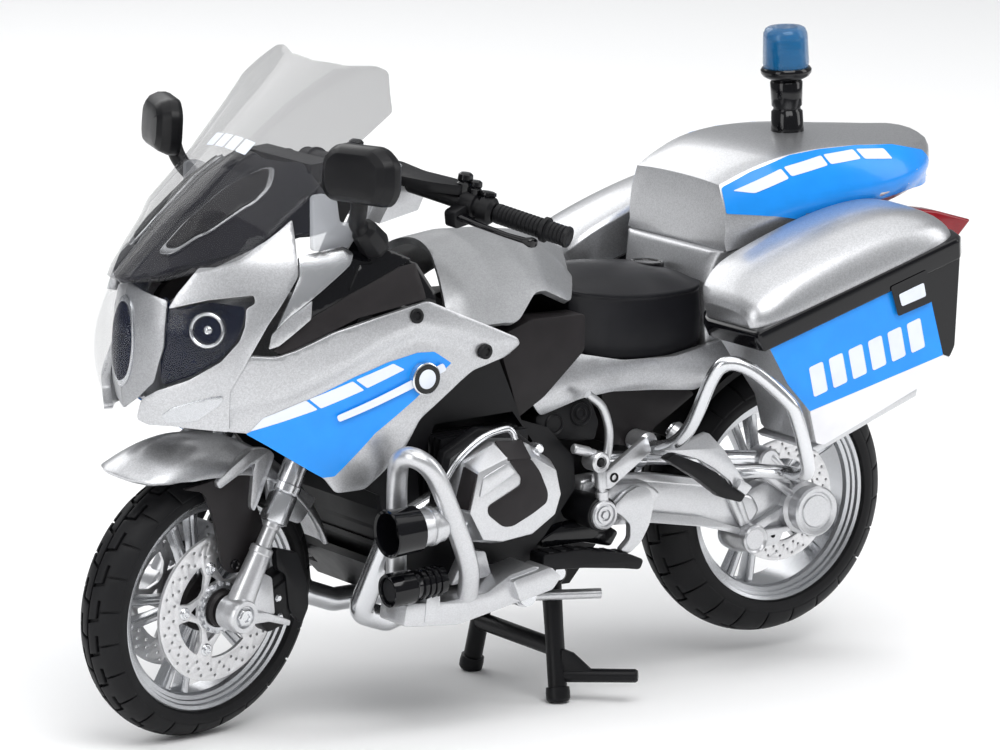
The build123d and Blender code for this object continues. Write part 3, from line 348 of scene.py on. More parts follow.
def panel(name, outline, surface, look, thick=1.2, lift=0.0, cell=1.6, bevel=0.25, body="frame", twin=True,
          dome=None, outward=None, slot=None, smooth=35):
    """A moulded panel: an outline in a surface's own coordinates, laid on it, with a wall of one thickness.
    dome(u, v) adds height. outward(point) tells which way is out."""
    flat, tris = fill(outline, cell)
    top, low = [], []
    for p in flat:
        n = skin_normal(surface, p.x, p.y)
        at = surface(p.x, p.y)
        if outward is not None and n.dot(outward(at)) < 0:
            n = -n
        up = lift + (dome(p.x, p.y) if dome else 0.0)
        top.append(at + n * up)
        low.append(at + n * (min(up, lift) - thick))
    count = len(top)
    use = {}
    for tri in tris:
        for k in range(len(tri)):
            a, b = tri[k], tri[(k + 1) % len(tri)]
            use[(a, b)] = True
    faces = [tuple(t) for t in tris] + [tuple(i + count for i in reversed(t)) for t in tris]
    for a, b in use:
        if (b, a) not in use:
            faces.append((b, a, a + count, b + count))
    make = pair if twin else piece
    return make(name, [*top, *low], faces, look, body, bevel=bevel, slot=slot, smooth=smooth)


def loft(name, rings, look, body="frame", twin=False, caps=True, **options):
    """A closed skin through rings of points, with its two ends filled."""
    size = len(rings[0])
    points = [Vector(p) for ring in rings for p in ring]
    faces = []
    for r in range(len(rings) - 1):
        for k in range(size):
            n = (k + 1) % size
            faces.append((r * size + k, r * size + n, (r + 1) * size + n, (r + 1) * size + k))
    if caps:
        faces.append(tuple(range(size)))
        faces.append(tuple(reversed(range((len(rings) - 1) * size, len(rings) * size))))
    make = pair if twin else piece
    return make(name, points, faces, look, body, **options)


def prism(name, outline, corner, y_low, y_high, look, **options):
    """A side-view outline (x, z) with rounded corners, given a width."""
    rings = [[(x, y, z) for x, z in rounded(outline, corner)] for y in (y_low, y_high)]
    return loft(name, rings, look, **options)


def frame_along(direction):
    """Two directions square to a third."""
    z = Vector(direction).normalized()
    side = Vector((0, 0, 1)) if abs(z.z) < 0.9 else Vector((1, 0, 0))
    x = side.cross(z).normalized()
    return x, z.cross(x)


TUBE_STEPS = 6
ON_MIDDLE = 0.05


def ring_about(at, x, y, radius, sides):
    """A circle of points in the plane of two directions."""
    ring = []
    for k in range(sides):
        turn = 2 * math.pi * k / sides
        ring.append(at + (x * math.cos(turn) + y * math.sin(turn)) * radius)
    return ring


def turned(name, start, end, profile, look, body="frame", sides=40, **options):
    """A turned piece: profile is (share along the line from start to end, radius) pairs."""
    start, end = Vector(start), Vector(end)
    x, y = frame_along(end - start)
    rings = [ring_about(start + (end - start) * share, x, y, radius, sides) for share, radius in profile]
    return loft(name, rings, look, body, **options)


def tube(name, points, radius, look, sides=20, **options):
    """A round tube through points, smooth at its bends."""
    path = curve_through(points, (len(points) - 1) * TUBE_STEPS + 1)
    rings = []
    x = None
    for i, at in enumerate(path):
        along = Vector(path[min(i + 1, len(path) - 1)] - path[max(i - 1, 0)]).normalized()
        x = frame_along(along)[0] if x is None else (x - along * x.dot(along)).normalized()
        y = along.cross(x)
        rings.append(ring_about(Vector(at), x, y, radius, sides))
    return loft(name, rings, look, **options)


def steered(points):
    """Points drawn for straight ahead, turned with the handlebar."""
    return [STEER_FOOT + STEER_TURN @ (Vector(p) - STEER_FOOT) for p in points]


def across(half):
    """An outline drawn on the rider's left of the middle line, closed by its mirror image."""
    return half + [(x, -y) for x, y in reversed(half) if y > ON_MIDDLE]


def along_sight(x, y, z, near, far, step):
    """Points on the line of sight through a place, going away from the eye."""
    start = Vector((x, y, z))
    line = (start - EYE).normalized()
    for t in np.arange(near, far, step):
        yield start + line * float(t)


def going_up(_):
    return Vector((0.0, 0.0, 1.0))


def going_left(_):
    return Vector((0.0, 1.0, 0.0))


def going_ahead(_):
    return Vector((1.0, 0.0, 1.0))


# ---- fairing --------------------------------------------------------------
PLAN = curve_through([(84.4, 0), (83.6, 4.2), (81.2, 9.0), (77.0, 14.0), (70.0, 19.8), (62.0, 24.2),
                      (50.0, 26.9), (36.0, 27.2), (24.0, 26.4), (12.0, 25.0), (0.0, 24.0)], 401)
PLAN[0] = (84.4, 0)
PLAN_S = np.concatenate([[0], np.cumsum(np.linalg.norm(np.diff(PLAN, axis=0), axis=1))])
TUCK_Z = [44, 48, 52, 56, 60, 65, 70, 76, 82, 88, 94, 100]
TUCK = [4.6, 3.2, 2.0, 1.1, 0.5, 0.1, 0.0, 0.3, 1.2, 3.0, 6.0, 10.0]


def plan_point(s):
    """The fairing's plan outline at a distance round from the nose, with its outward direction."""
    a = abs(s)
    x = np.interp(a, PLAN_S, PLAN[:, 0])
    y = np.interp(a, PLAN_S, PLAN[:, 1])
    x2 = np.interp(a + 0.4, PLAN_S, PLAN[:, 0]) - np.interp(max(a - 0.4, 0), PLAN_S, PLAN[:, 0])
    y2 = np.interp(a + 0.4, PLAN_S, PLAN[:, 1]) - np.interp(max(a - 0.4, 0), PLAN_S, PLAN[:, 1])
    n = Vector((y2, -x2)).normalized() if a > 0.4 else Vector((1, 0))
    return Vector((x, y)), n


def tuck(z):
    """How far the skin leans in at a height."""
    return float(np.interp(z, TUCK_Z, TUCK))


def skin(s, z):
    """The fairing's outer skin; s is the distance round from the nose, negative on the right."""
    at, n = plan_point(s)
    smooth_tuck = (tuck(z - 1.5) + 2 * tuck(z) + tuck(z + 1.5)) / 4
    x = at.x - n.x * smooth_tuck
    y = at.y - n.y * smooth_tuck
    return Vector((x, y if s >= 0 else -y, z))


def on_skin(x, z, y):
    """Where the skin is met by the line of sight through a point drawn at a width y."""
    best = Vector((x, y, z))
    for p in along_sight(x, y, z, -30.0, 30.0, 0.25):
        lean = tuck(p.z)
        ring_x = PLAN[:, 0] - lean * 0.6
        if p.x > ring_x[0]:
            continue
        half = np.interp(-p.x, -ring_x, PLAN[:, 1]) - lean * 0.8
        if p.y <= half:
            best = p
            break
    ring_x = PLAN[:, 0] - tuck(best.z) * 0.6
    return float(np.interp(-best.x, -ring_x, PLAN_S)), best.z


def seen(points, y):
    """A side-view outline drawn at one width, moved onto the skin along the line of sight."""
    return [on_skin(x, z, y) for x, z in points]


def out_from_axis(at):
    """Roughly which way is out, anywhere on the fairing."""
    return Vector((at.x - 30.0, at.y * 2.0, 0.0))


SIDE_LOW = [(78.1, 60.7), (73.3, 59.9), (68.0, 56.8), (56.2, 50.3), (53.3, 47.4), (46.7, 47.4),
            (43.4, 50.1), (39.5, 54.2), (37.2, 59.0), (26.0, 66.3), (18.7, 68.2), (16.5, 70.2),
            (17.1, 71.6)]
SIDE_TOP = [(34.2, 79.6), (45.2, 77.6), (54.1, 75.9), (62.0, 73.4), (66.5, 72.6), (72.3, 73.5),
            (76.5, 67.4), (76.9, 64.0)]
side_outline = rounded(seen(SIDE_LOW, 27) + seen(SIDE_TOP, 25), 1.0)
CREASE = [(80.0, 65.0), (70.2, 65.8), (64.1, 66.6), (54.8, 69.6), (45.3, 73.6), (37.3, 76.0),
          (28.0, 73.4), (22.0, 70.6)]
CREASE_SZ = np.array(sorted(on_skin(x, z, 26) for x, z in CREASE))


def side_relief(s, z):
    """The shallow channel below the side panel's shoulder, where the film lies."""
    line = float(np.interp(s, CREASE_SZ[:, 0], CREASE_SZ[:, 1]))
    drop = line - z
    into = min(max(drop / 3.0, 0.0), 1.0)
    away = min(max((drop - 9.0) / 8.0, 0.0), 1.0)
    depth = into * into * (3 - 2 * into) * (1 - away)
    return -0.9 * depth


def moulding(name, outline, width, corner, look, **options):
    """A panel of the fairing's skin, from a side-view outline drawn at one width."""
    return panel(name, rounded(seen(outline, width), corner), skin, look, outward=out_from_axis, **options)


side_panels = panel("side_panel", side_outline, skin, SILVER, thick=1.5, cell=1.0, bevel=0.35,
                    dome=side_relief, outward=out_from_axis, slot="silver_paint")
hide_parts("side_panel_left")
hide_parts("side_panel_right")


def film(name, outline, look, height=0.08, radius=0.3):
    """A thin film on the side panel, following its channel."""
    return panel(name, rounded(outline, radius), skin, look, thick=0.05, lift=0.0, cell=1.0, bevel=0.0,
                 dome=lambda s, z: side_relief(s, z) + height, outward=out_from_axis, slot="blue_panel")


film("side_film", seen([(73.6, 59.9), (56.5, 50.6), (54.0, 50.6), (46.4, 57.4), (38.5, 62.4),
                        (30.6, 68.2), (34.2, 70.6), (37.8, 70.8), (44.0, 69.6), (51.0, 67.7),
                        (62.0, 64.2)], 26.8), BLUE)
for index, block in enumerate((
        [(72.6, 60.3), (70.0, 62.4), (61.0, 64.6), (58.5, 62.7)],
        [(60.3, 64.7), (51.3, 67.0), (48.9, 65.2), (57.8, 62.8)],
        [(50.7, 67.2), (42.8, 69.3), (40.4, 68.0), (48.3, 65.5)])):
    film(f"pale_block_{index}", seen(block, 26.8), WHITE, height=0.14)
film("pale_bar", seen([(55.0, 61.4), (33.0, 68.6), (32.2, 67.2), (54.5, 60.3)], 27.2), WHITE, height=0.7,
     radius=0.5)

NOSE_OPENING = [(66.8, 79.7), (67.1, 76.5), (68.3, 74.1), (72.0, 70.8), (78.5, 68.3), (84.9, 67.1),
                (88.1, 66.0)]
nose = moulding("nose_shell", [(89.0, 63.3), *reversed(NOSE_OPENING), (65.0, 80.5), (65.3, 82.0),
                               (74.8, 82.0), (82.8, 81.3), (81.2, 83.7), (76.9, 87.9), (73.4, 87.6),
                               (67.4, 89.4), (62.5, 91.1), (55.2, 94.4), (55.1, 90.8), (55.6, 84.3),
                               (62.4, 76.4), (65.9, 71.5), (70.1, 65.4), (70.3, 62.5), (70.3, 58.3),
                               (76.6, 59.5), (82.2, 60.7), (86.8, 61.4), (88.8, 62.5), ], 16, 0.5, SILVER,
                thick=1.6, lift=0.3, cell=1.0, bevel=0.4, slot="silver_paint")
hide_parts("nose_fairing")

moulding("lip_slot", [(84.0, 62.8), (81.7, 64.0), (75.0, 64.8), (71.4, 65.0), (72.0, 63.4), (76.6, 61.0),
                      (83.1, 61.3)], 16, 0.8, RIM, thick=0.3, lift=0.55, cell=0.9, bevel=0.1,
         slot="bright_tube")


def both_ways(outline):
    """An outline drawn from the middle line out to the left, closed by its mirror image."""
    return outline + [(-s, z) for s, z in reversed(outline) if s > 0.05]


lens_half = [(0.0, 59.6), *seen([(89.2, 63.6)], 16), *seen(list(reversed(NOSE_OPENING)), 16),
             *seen([(65.4, 80.9), (74.8, 81.6), (82.8, 81.0)], 16), (6.5, 83.6), (0.0, 85.2)]


def lens_skin(s, z):
    """The lens: the fairing's skin, bulging forward in its middle."""
    _, n = plan_point(s)
    bulge = 3.0 * max(0.0, 1 - (s / 11.0) ** 2) * max(0.0, 1 - ((z - 72.0) / 12.0) ** 2)
    return skin(s, z) + Vector((n.x, math.copysign(n.y, s), 0.0)) * bulge


lens = panel("headlight_cover", rounded(both_ways(lens_half), 0.4), lens_skin, LENS, thick=0.5, lift=-0.1,
             cell=1.3, bevel=0.15, twin=False, outward=out_from_axis, slot="clear_plastic")
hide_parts("headlight_lens")


def inner_skin(depth):
    """The skin moved inwards."""
    def surface(s, z):
        at, n = plan_point(s)
        lean = tuck(z) + depth
        return Vector((at.x - n.x * lean, math.copysign(at.y - n.y * lean, s) if abs(s) > 0.05 else 0.0, z))
    return surface


def shrunk(outline, share):
    """An outline drawn closer to its own middle."""
    mid = np.mean(np.array(outline), axis=0)
    return [tuple(mid + (np.array(p) - mid) * share) for p in outline]


bucket_half = seen([(84.6, 67.6), (78.5, 68.6), (72.2, 71.2), (68.8, 74.3), (67.6, 76.7), (67.2, 79.6),
                    (74.8, 81.2), (82.6, 80.8)], 16)
bucket_side = [(9.6, 66.8), *bucket_half, (9.6, 81.6)]
lamp_side = panel("lamp_side", rounded(bucket_side, 0.6), inner_skin(2.6), LAMP_BLUE, thick=1.0, cell=1.5,
                  bevel=0.2, outward=out_from_axis, slot="lamp_dark")
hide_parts("headlight_bucket")
panel("lamp_band", rounded([(0.0, 61.0), (5.0, 63.6), (8.6, 66.6), (10.6, 73.0), (10.9, 81.0),
                            (0.0, 83.4), (0.4, 72.0)], 0.5), inner_skin(1.7), SILVER, thick=0.5, cell=1.2,
      bevel=0.2, outward=out_from_axis, slot="silver_paint")
oval = [(4.1 * math.cos(t), 73.0 + 8.2 * math.sin(t)) for t in np.linspace(0, 2 * math.pi, 28,
    endpoint=False)]
panel("lamp_oval_rim", oval, inner_skin(1.3), CHROME, thick=0.8, cell=1.0, bevel=0.3, twin=False,
      outward=out_from_axis, slot="bright_tube")
panel("lamp_oval", shrunk(oval, 0.86), inner_skin(1.0), LAMP_BLUE, thick=0.6, cell=1.0, bevel=0.3,
      twin=False, outward=out_from_axis, slot="lamp_dark")

ring_s, ring_z = on_skin(73.9, 75.9, 14)
ring_at = inner_skin(2.4)(ring_s, ring_z)
ring_out = skin_normal(inner_skin(2.4), ring_s, ring_z)
ring_out = ring_out if ring_out.y > 0 else -ring_out
turned("lamp_ring", ring_at - ring_out * 0.5, ring_at + ring_out * 1.6,
       [(0, 3.3), (0.7, 3.3), (0.95, 3.1), (1.0, 2.85), (0.9, 2.55), (0.45, 2.3), (0.3, 2.2)], CHROME,
       twin=True, slot="bright_tube")
turned("lamp_well", ring_at - ring_out * 0.3, ring_at + ring_out * 0.5,
       [(0, 2.4), (1.0, 2.4), (1.0, 0.1)], LAMP_BLUE, twin=True, slot="lamp_dark")
turned("lamp_bulb", ring_at - ring_out * 0.2, ring_at + ring_out * 0.9,
       [(0, 0.9), (0.6, 0.85), (0.85, 0.6), (1.0, 0.2)], CHROME, twin=True, slot="bright_tube", smooth=60)

moulding("duct_top", [(58.7, 89.0), (49.0, 89.9), (47.1, 88.5), (48.1, 86.6), (56.8, 81.5), (61.7, 78.9),
                      (64.4, 76.9), (61.7, 81.4), (59.0, 85.6)], 22, 0.4, CHROME, thick=1.4, lift=0.9,
         cell=1.0, bevel=0.5, slot="bright_tube")
moulding("duct_lip", [(58.0, 81.6), (58.5, 78.4), (65.2, 74.4), (67.3, 74.0), (66.6, 76.5), (62.9, 79.2)],
         24, 0.3, SILVER, thick=1.2, lift=0.5, cell=1.0, bevel=0.3, slot="silver_paint")
upper = moulding("upper_gloss", [(45.0, 92.2), (34.9, 86.9), (37.6, 85.8), (49.5, 81.7), (54.0, 79.8),
                                 (60.5, 77.6), (63.5, 78.5), (57.0, 83.0), (51.0, 87.0), (48.0, 89.6)],
                 23, 0.4, GLOSS, thick=1.2, lift=-0.5, cell=1.2, bevel=0.3, slot="gloss_black")
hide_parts("upper_panels")
moulding("upper_facet", [(46.1, 86.8), (38.2, 87.0), (49.1, 82.4)], 23, 0.2, GLOSS, thick=0.5, lift=-0.2,
         cell=1.2, bevel=0.2, slot="gloss_black")
moulding("upper_matt", [(50.1, 82.1), (38.6, 86.1), (35.1, 86.5), (33.9, 79.8), (48.5, 77.7),
                        (55.0, 75.6), (64.5, 72.6), (66.6, 73.6), (61.5, 77.5), (55.0, 80.0)], 24.5, 0.4,
         DARK, thick=1.2, lift=-0.7, cell=1.2, bevel=0.3, slot="dark_grey")
moulding("upper_gap", [(34.3, 86.7), (32.7, 85.9), (29.9, 80.3), (29.8, 78.0), (34.0, 79.2),
                       (34.8, 86.0)], 22, 0.3, GLOSS, thick=0.9, lift=-1.4, cell=1.2, bevel=0.2,
         slot="gloss_black")


def disc_on_skin(name, s, z, profile, look, slot):
    """A turned piece standing on the side panel, on both sides."""
    at = skin(s, z)
    n = skin_normal(skin, s, z)
    n = n if n.y > 0 else -n
    return turned(name, at, at + n, profile, look, twin=True, slot=slot, smooth=50)


for index, (x, z, y) in enumerate(((38.2, 77.5, 26.8), (23.4, 69.5, 25.8))):
    s0, z0 = on_skin(x, z, y)
    heads = disc_on_skin(f"panel_screw_{index}", s0, z0,
                         [(-0.6, 1.35), (0.35, 1.35), (0.5, 1.2), (0.5, 0.75), (0.2, 0.6), (0.2, 0.1)],
                         MATT, slot="matt_black")
    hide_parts("panel_screws")
s0, z0 = on_skin(37.0, 66.3, 27.4)
disc_on_skin("badge_rim", s0, z0, [(-0.8, 2.9), (0.35, 2.9), (0.5, 2.7), (0.5, 1.9), (0.3, 1.8)], CHROME,
             slot="bright_tube")
disc_on_skin("badge_band", s0, z0, [(-0.6, 2.65), (0.62, 2.65), (0.66, 2.5), (0.6, 1.7)], GLOSS,
             slot="gloss_black")
disc_on_skin("badge_centre", s0, z0, [(-0.6, 1.75), (0.66, 1.75), (0.72, 1.6), (0.74, 0.1)], WHITE,
             slot="silver_paint")


# ---- windscreen and cowl --------------------------------------------------
SCREEN_MID = curve_through([(84.6, 84.4), (80.6, 88.2), (76.0, 92.6), (66.0, 101.8), (56.0, 110.4),
                            (48.0, 116.4), (40.6, 121.4)], 121)
SCREEN_L = np.concatenate([[0], np.cumsum(np.linalg.norm(np.diff(SCREEN_MID, axis=0), axis=1))])
SCREEN_END = float(SCREEN_L[-1])


def screen(y, along):
    """The windscreen's skin: sideways distance and distance up its middle line."""
    x = np.interp(along, SCREEN_L, SCREEN_MID[:, 0])
    z = np.interp(along, SCREEN_L, SCREEN_MID[:, 1])
    dx = np.interp(along + 0.6, SCREEN_L, SCREEN_MID[:, 0]) - np.interp(along - 0.6, SCREEN_L,
        SCREEN_MID[:, 0])
    dz = np.interp(along + 0.6, SCREEN_L, SCREEN_MID[:, 1]) - np.interp(along - 0.6, SCREEN_L,
        SCREEN_MID[:, 1])
    run = math.hypot(dx, dz)
    bow = np.interp(along, [0, 6, 16, 30, 44, SCREEN_END], [2.6, 4.4, 5.8, 5.6, 4.0, 2.0]) * (y / 19.0) ** 2
    bow += max(0.0, abs(y) - 1.2) * np.interp(along, [0, 8, 20], [0.35, 0.22, 0.0])
    return Vector((x - dz / run * bow, y, z + dx / run * bow))


screen_half = [(0.0, 0.0), (3.4, 0.6), (8.6, 3.8), (13.6, 8.6), (18.0, 14.0), (20.6, 20.0), (21.6, 29.0),
               (22.4, 41.0), (24.8, SCREEN_END - 6.0), (18.6, SCREEN_END - 0.2), (16.4, SCREEN_END + 0.4),
               (9.0, SCREEN_END - 2.2), (0.0, SCREEN_END - 3.2)]
windscreen = panel("windscreen_shell", rounded(both_ways(screen_half), 0.7), screen, GLASS, thick=0.8,
                   cell=1.6, bevel=0.2, twin=False, outward=going_ahead, slot="clear_plastic")
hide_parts("windscreen")
for index in range(4):
    low, high = -6.4 + 3.4 * index, -3.6 + 3.4 * index
    panel(f"screen_block_{index}", rounded([(low, 31.0), (high, 31.0), (high, 34.0), (low, 34.0)], 0.3),
          screen, WHITE, thick=0.05, lift=0.1, cell=1.2, bevel=0.0, twin=False, outward=going_ahead,
          slot="silver_paint")


COWL_X = [84.0, 80.0, 72.0, 64.0, 58.0, 52.0]
COWL_TOP = [83.6, 87.4, 94.6, 101.0, 104.4, 106.0]


def cowl(x, y):
    """The dark cowl under the screen: a flat spine, falling away in facets on both sides."""
    top = float(np.interp(x, COWL_X[::-1], COWL_TOP[::-1]))
    a = abs(y)
    fall = 0.10 * min(a, 3.0) + 0.42 * max(0.0, min(a, 9.0) - 3.0) + 0.85 * max(0.0, a - 9.0)
    return Vector((x, y, top - fall))


def on_roof(surface, x, z, y):
    """Where a surface seen from above is met by the line of sight through a point."""
    for p in along_sight(x, y, z, -30.0, 40.0, 0.2):
        if p.z <= surface(p.x, p.y).z:
            return p.x, p.y
    return x, y


cowl_half = [(83.6, 0.0), (82.4, 3.4), (78.0, 8.6), (72.0, 13.0), (64.0, 17.6), (56.0, 20.0),
             (50.5, 20.4), (49.6, 15.0), (51.0, 9.0), (54.0, 7.4), (56.6, 4.6), (57.0, 0.0)]
cowl_shell = panel("cowl_shell", rounded(across(cowl_half), 0.8), cowl, COWL, thick=1.2, cell=1.2,
                   bevel=0.3, twin=False, outward=going_up, slot="matt_black", smooth=18)
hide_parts("inner_cowl")
INTAKE = [(79.8, 89.8), (75.2, 93.9), (67.8, 98.9), (60.3, 101.9), (57.2, 102.2), (58.0, 98.9),
          (61.2, 96.3), (70.1, 92.2), (77.1, 89.2)]
intake = [on_roof(cowl, x, z, 9) for x, z in INTAKE]
# The intake rim is gloss black. Its silver look stands in for the thin light line along its edge: a painted
# highlight.
panel("intake_rim", rounded(shrunk(intake, 1.06), 1.2), cowl, RIM, thick=0.6, lift=0.55, cell=1.0,
      bevel=0.3, outward=going_up, slot="gloss_black", smooth=50)
panel("intake", rounded(shrunk(intake, 0.95), 1.2), cowl, GLOSS, thick=0.4, lift=0.8, cell=1.0, bevel=0.2,
      outward=going_up, slot="gloss_black", smooth=50)


# ---- tank and seat --------------------------------------------------------
def tank(x, y):
    """The tank cover's roof: a long crown that falls away at the sides and behind a soft crease."""
    top = float(np.interp(x, [-14, -10, -6, 0, 7, 15, 22, 28],
                          [78.6, 81.6, 83.6, 85.4, 86.4, 86.7, 85.8, 83.6]))
    a = abs(y)
    fall = 0.030 * a * a + 0.55 * max(0.0, a - 16.2)
    crease = -(x - 4.5) - 0.36 * (17.0 - a)
    fall += 0.45 * max(0.0, crease) if a > 4 else 0.45 * max(0.0, crease) * a / 4
    hollow = math.exp(-((x - 5.0) / 6.0) ** 2 - ((a - 9.0) / 3.6) ** 2)
    return Vector((x, y, top - fall - 0.45 * hollow))


tank_half = [(21.8, 0.0), (22.4, 6.0), (24.2, 12.0), (26.0, 17.2), (25.6, 19.2), (12.6, 20.0),
             (9.4, 18.4), (6.8, 17.0), (-1.4, 16.4), (-4.4, 12.4), (-8.4, 6.4), (-10.4, 0.0)]
tank_shell = panel("tank_shell", rounded(across(tank_half), 1.6), tank, TANK, thick=1.4, cell=1.1,
                   bevel=0.45, twin=False, outward=going_up, slot="tank_silver", smooth=22)
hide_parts("tank_cover")


def ringed(stations, profile):
    """Rings for a loft along X: each station's half profile (y, z), mirrored to a closed ring."""
    rings = []
    for x, sizes in stations:
        half = profile(*sizes)
        rings.append([(x, y, z) for y, z in half] + [(x, -y, z) for y, z in reversed(half) if y > 0.01])
    return rings


def seat_half(y_low, z_low, y_edge, z_edge, z_top):
    """Half a seat section: side, edge roll and crown."""
    return [(0.0, z_low), (y_low, z_low), (y_low + (y_edge - y_low) * 0.5 + 0.3, (z_low + z_edge) / 2),
            (y_edge - 0.35, z_edge - 0.5), (y_edge, z_edge), (y_edge - 0.2, z_edge + 0.6),
            (y_edge * 0.72, z_edge + (z_top - z_edge) * 0.55),
            (y_edge * 0.38, z_edge + (z_top - z_edge) * 0.9), (0.0, z_top)]


seat_table = curve_through([(-4.2, 10.6, 65.0, 11.8, 75.2, 76.0), (-8.0, 12.8, 63.4, 13.4, 74.4, 77.4),
                            (-14.0, 13.8, 62.4, 14.2, 73.6, 77.9), (-22.0, 14.2, 61.8, 14.4, 73.2, 77.6),
                            (-29.0, 14.2, 62.6, 14.2, 73.4, 76.7), (-31.8, 13.6, 64.0, 13.5, 73.8, 76.0),
                            (-33.4, 11.8, 65.6, 11.8, 74.2, 75.5)], 29)
seat_stations = [(row[0], tuple(row[1:])) for row in seat_table]
seat = loft("seat_cushion", ringed(seat_stations, seat_half), SEAT, bevel=0.2, segments=3,
            slot="matt_black", smooth=30)
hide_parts("rider_seat")
turned("seat_hole", (-29.4, 0, 72.0), (-29.6, 0, 76.85), [(0.0, 3.2), (0.98, 3.2), (1.02, 3.0),
                                                          (1.0, 2.7), (0.97, 2.6), (0.97, 0.1)], GLOSS,
       slot="gloss_black")


# ---- luggage --------------------------------------------------------------
SIDE_HOLLOW = 0.25
SHOULDER_SWELL = 0.5


def case_half(y_low, z_low, y_mid, z_mid, y_edge, z_edge, z_top):
    """Half a top-case section: floor, swelling side, crease and crowned lid."""
    return [(0.0, z_low), (y_low * 0.6, z_low), (y_low, z_low),
            (y_mid - SIDE_HOLLOW, (z_low + z_mid) / 2), (y_mid, z_mid),
            ((y_mid + y_edge) / 2 + SHOULDER_SWELL, (z_mid + z_edge) / 2), (y_edge, z_edge),
            (y_edge * 0.66, z_edge + (z_top - z_edge) * 0.6),
            (y_edge * 0.33, z_edge + (z_top - z_edge) * 0.92), (0.0, z_top)]


CASE = curve_through([
    (-36.2, 15.8, 80.4, 15.4, 84.0, 13.0, 92.4, 92.9), (-41.0, 16.4, 81.4, 16.9, 86.0, 14.0, 94.6, 95.4),
    (-47.0, 17.0, 82.8, 18.4, 88.0, 15.0, 96.6, 97.4), (-54.0, 17.4, 84.0, 19.4, 89.4, 15.7, 97.7, 98.4),
    (-62.0, 17.6, 85.2, 19.9, 90.6, 15.9, 98.0, 98.8), (-70.0, 17.4, 86.6, 19.5, 91.4, 15.6, 97.7, 98.6),
    (-77.0, 16.2, 88.2, 18.0, 92.2, 14.6, 97.0, 98.3), (-83.0, 13.0, 89.8, 14.4, 93.0, 12.0, 96.6, 98.0),
    (-87.5, 8.4, 91.0, 9.4, 93.6, 8.0, 96.4, 97.8), (-90.2, 4.0, 92.2, 4.6, 94.2, 4.0, 95.8, 96.6)], 37)
case_stations = [(row[0], tuple(row[1:])) for row in CASE]
top_case = loft("top_case_shell", ringed(case_stations, case_half), SILVER, bevel=0.4, segments=3,
                slot="silver_paint", smooth=34)
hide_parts("top_case")


def case_width(x, z):
    """The top case's half width at a place on its side."""
    row = [float(np.interp(x, CASE[::-1, 0], CASE[::-1, k])) for k in range(1, 7)]
    y_low, z_low, y_mid, z_mid, y_edge, z_edge = row
    return float(np.interp(z, [z_low, (z_low + z_mid) / 2, z_mid, (z_mid + z_edge) / 2, z_edge],
                           [y_low, y_mid - SIDE_HOLLOW, y_mid, (y_mid + y_edge) / 2 + SHOULDER_SWELL,
                            y_edge]))


def case_edge(x):
    """The height of the top case's side at its roof edge."""
    return float(np.interp(x, CASE[::-1, 0], CASE[::-1, 6]))


def case_side(x, z):
    """The top case's side, as a surface of (x, z)."""
    return Vector((x, case_width(x, z), z))


def on_side(width, x, z, y):
    """Where a side given as a half width of (x, z) is met by the line of sight through a point."""
    for p in along_sight(x, y, z, -25.0, 25.0, 0.2):
        if p.y <= width(p.x, p.z):
            return p.x, p.z
    return x, z


def decal(name, outline, surface, look, height, radius=0.4, slot="blue_panel"):
    """A thin film on a side surface."""
    return panel(name, rounded(outline, radius), surface, look, thick=0.05, lift=height, cell=1.3,
                 bevel=0.0, outward=going_left, slot=slot)


film_line = [on_side(case_width, x, z, y) for x, z, y in ((-33.4, 92.6, 16.5), (-34.2, 88.0, 18),
                                                          (-46.0, 86.4, 17), (-51.9, 85.4, 18),
                                                          (-63.0, 86.9, 18), (-75.4, 88.9, 18),
                                                          (-80.4, 91.2, 18), (-80.0, 95.9, 16.5),
                                                          (-72.8, 97.7, 16.5), (-64.4, 98.5, 16.5),
                                                          (-56.0, 98.4, 16.5), (-49.2, 97.5, 16.5),
                                                          (-40.5, 95.0, 16.5))]
decal("case_film", [(min(x, -36.5), min(z, case_edge(x) - 0.1)) for x, z in film_line], case_side, BLUE,
      0.16)
for index, block in enumerate((
        [(-35.9, 92.0), (-46.7, 95.2), (-48.7, 93.2), (-41.0, 91.1)],
        [(-47.4, 95.4), (-55.8, 96.9), (-57.6, 94.9), (-49.3, 93.5)],
        [(-56.3, 97.0), (-63.2, 97.4), (-65.1, 95.5), (-58.3, 95.0)],
        [(-63.9, 97.4), (-70.3, 97.0), (-72.4, 94.9), (-66.0, 95.4)])):
    decal(f"case_block_{index}", [on_side(case_width, x, z, 17.5) for x, z in block], case_side, WHITE,
          0.24, slot="silver_paint")

CASE_LEAN = math.radians(16.5)
CASE_CORNER_X, CASE_CORNER_Z = -26.4, 70.3


def leaned(along, y, rise):
    """A point in a pannier's own leaning frame."""
    return (CASE_CORNER_X - along * math.cos(CASE_LEAN) + rise * math.sin(CASE_LEAN), y,
            CASE_CORNER_Z + along * math.sin(CASE_LEAN) + rise * math.cos(CASE_LEAN))


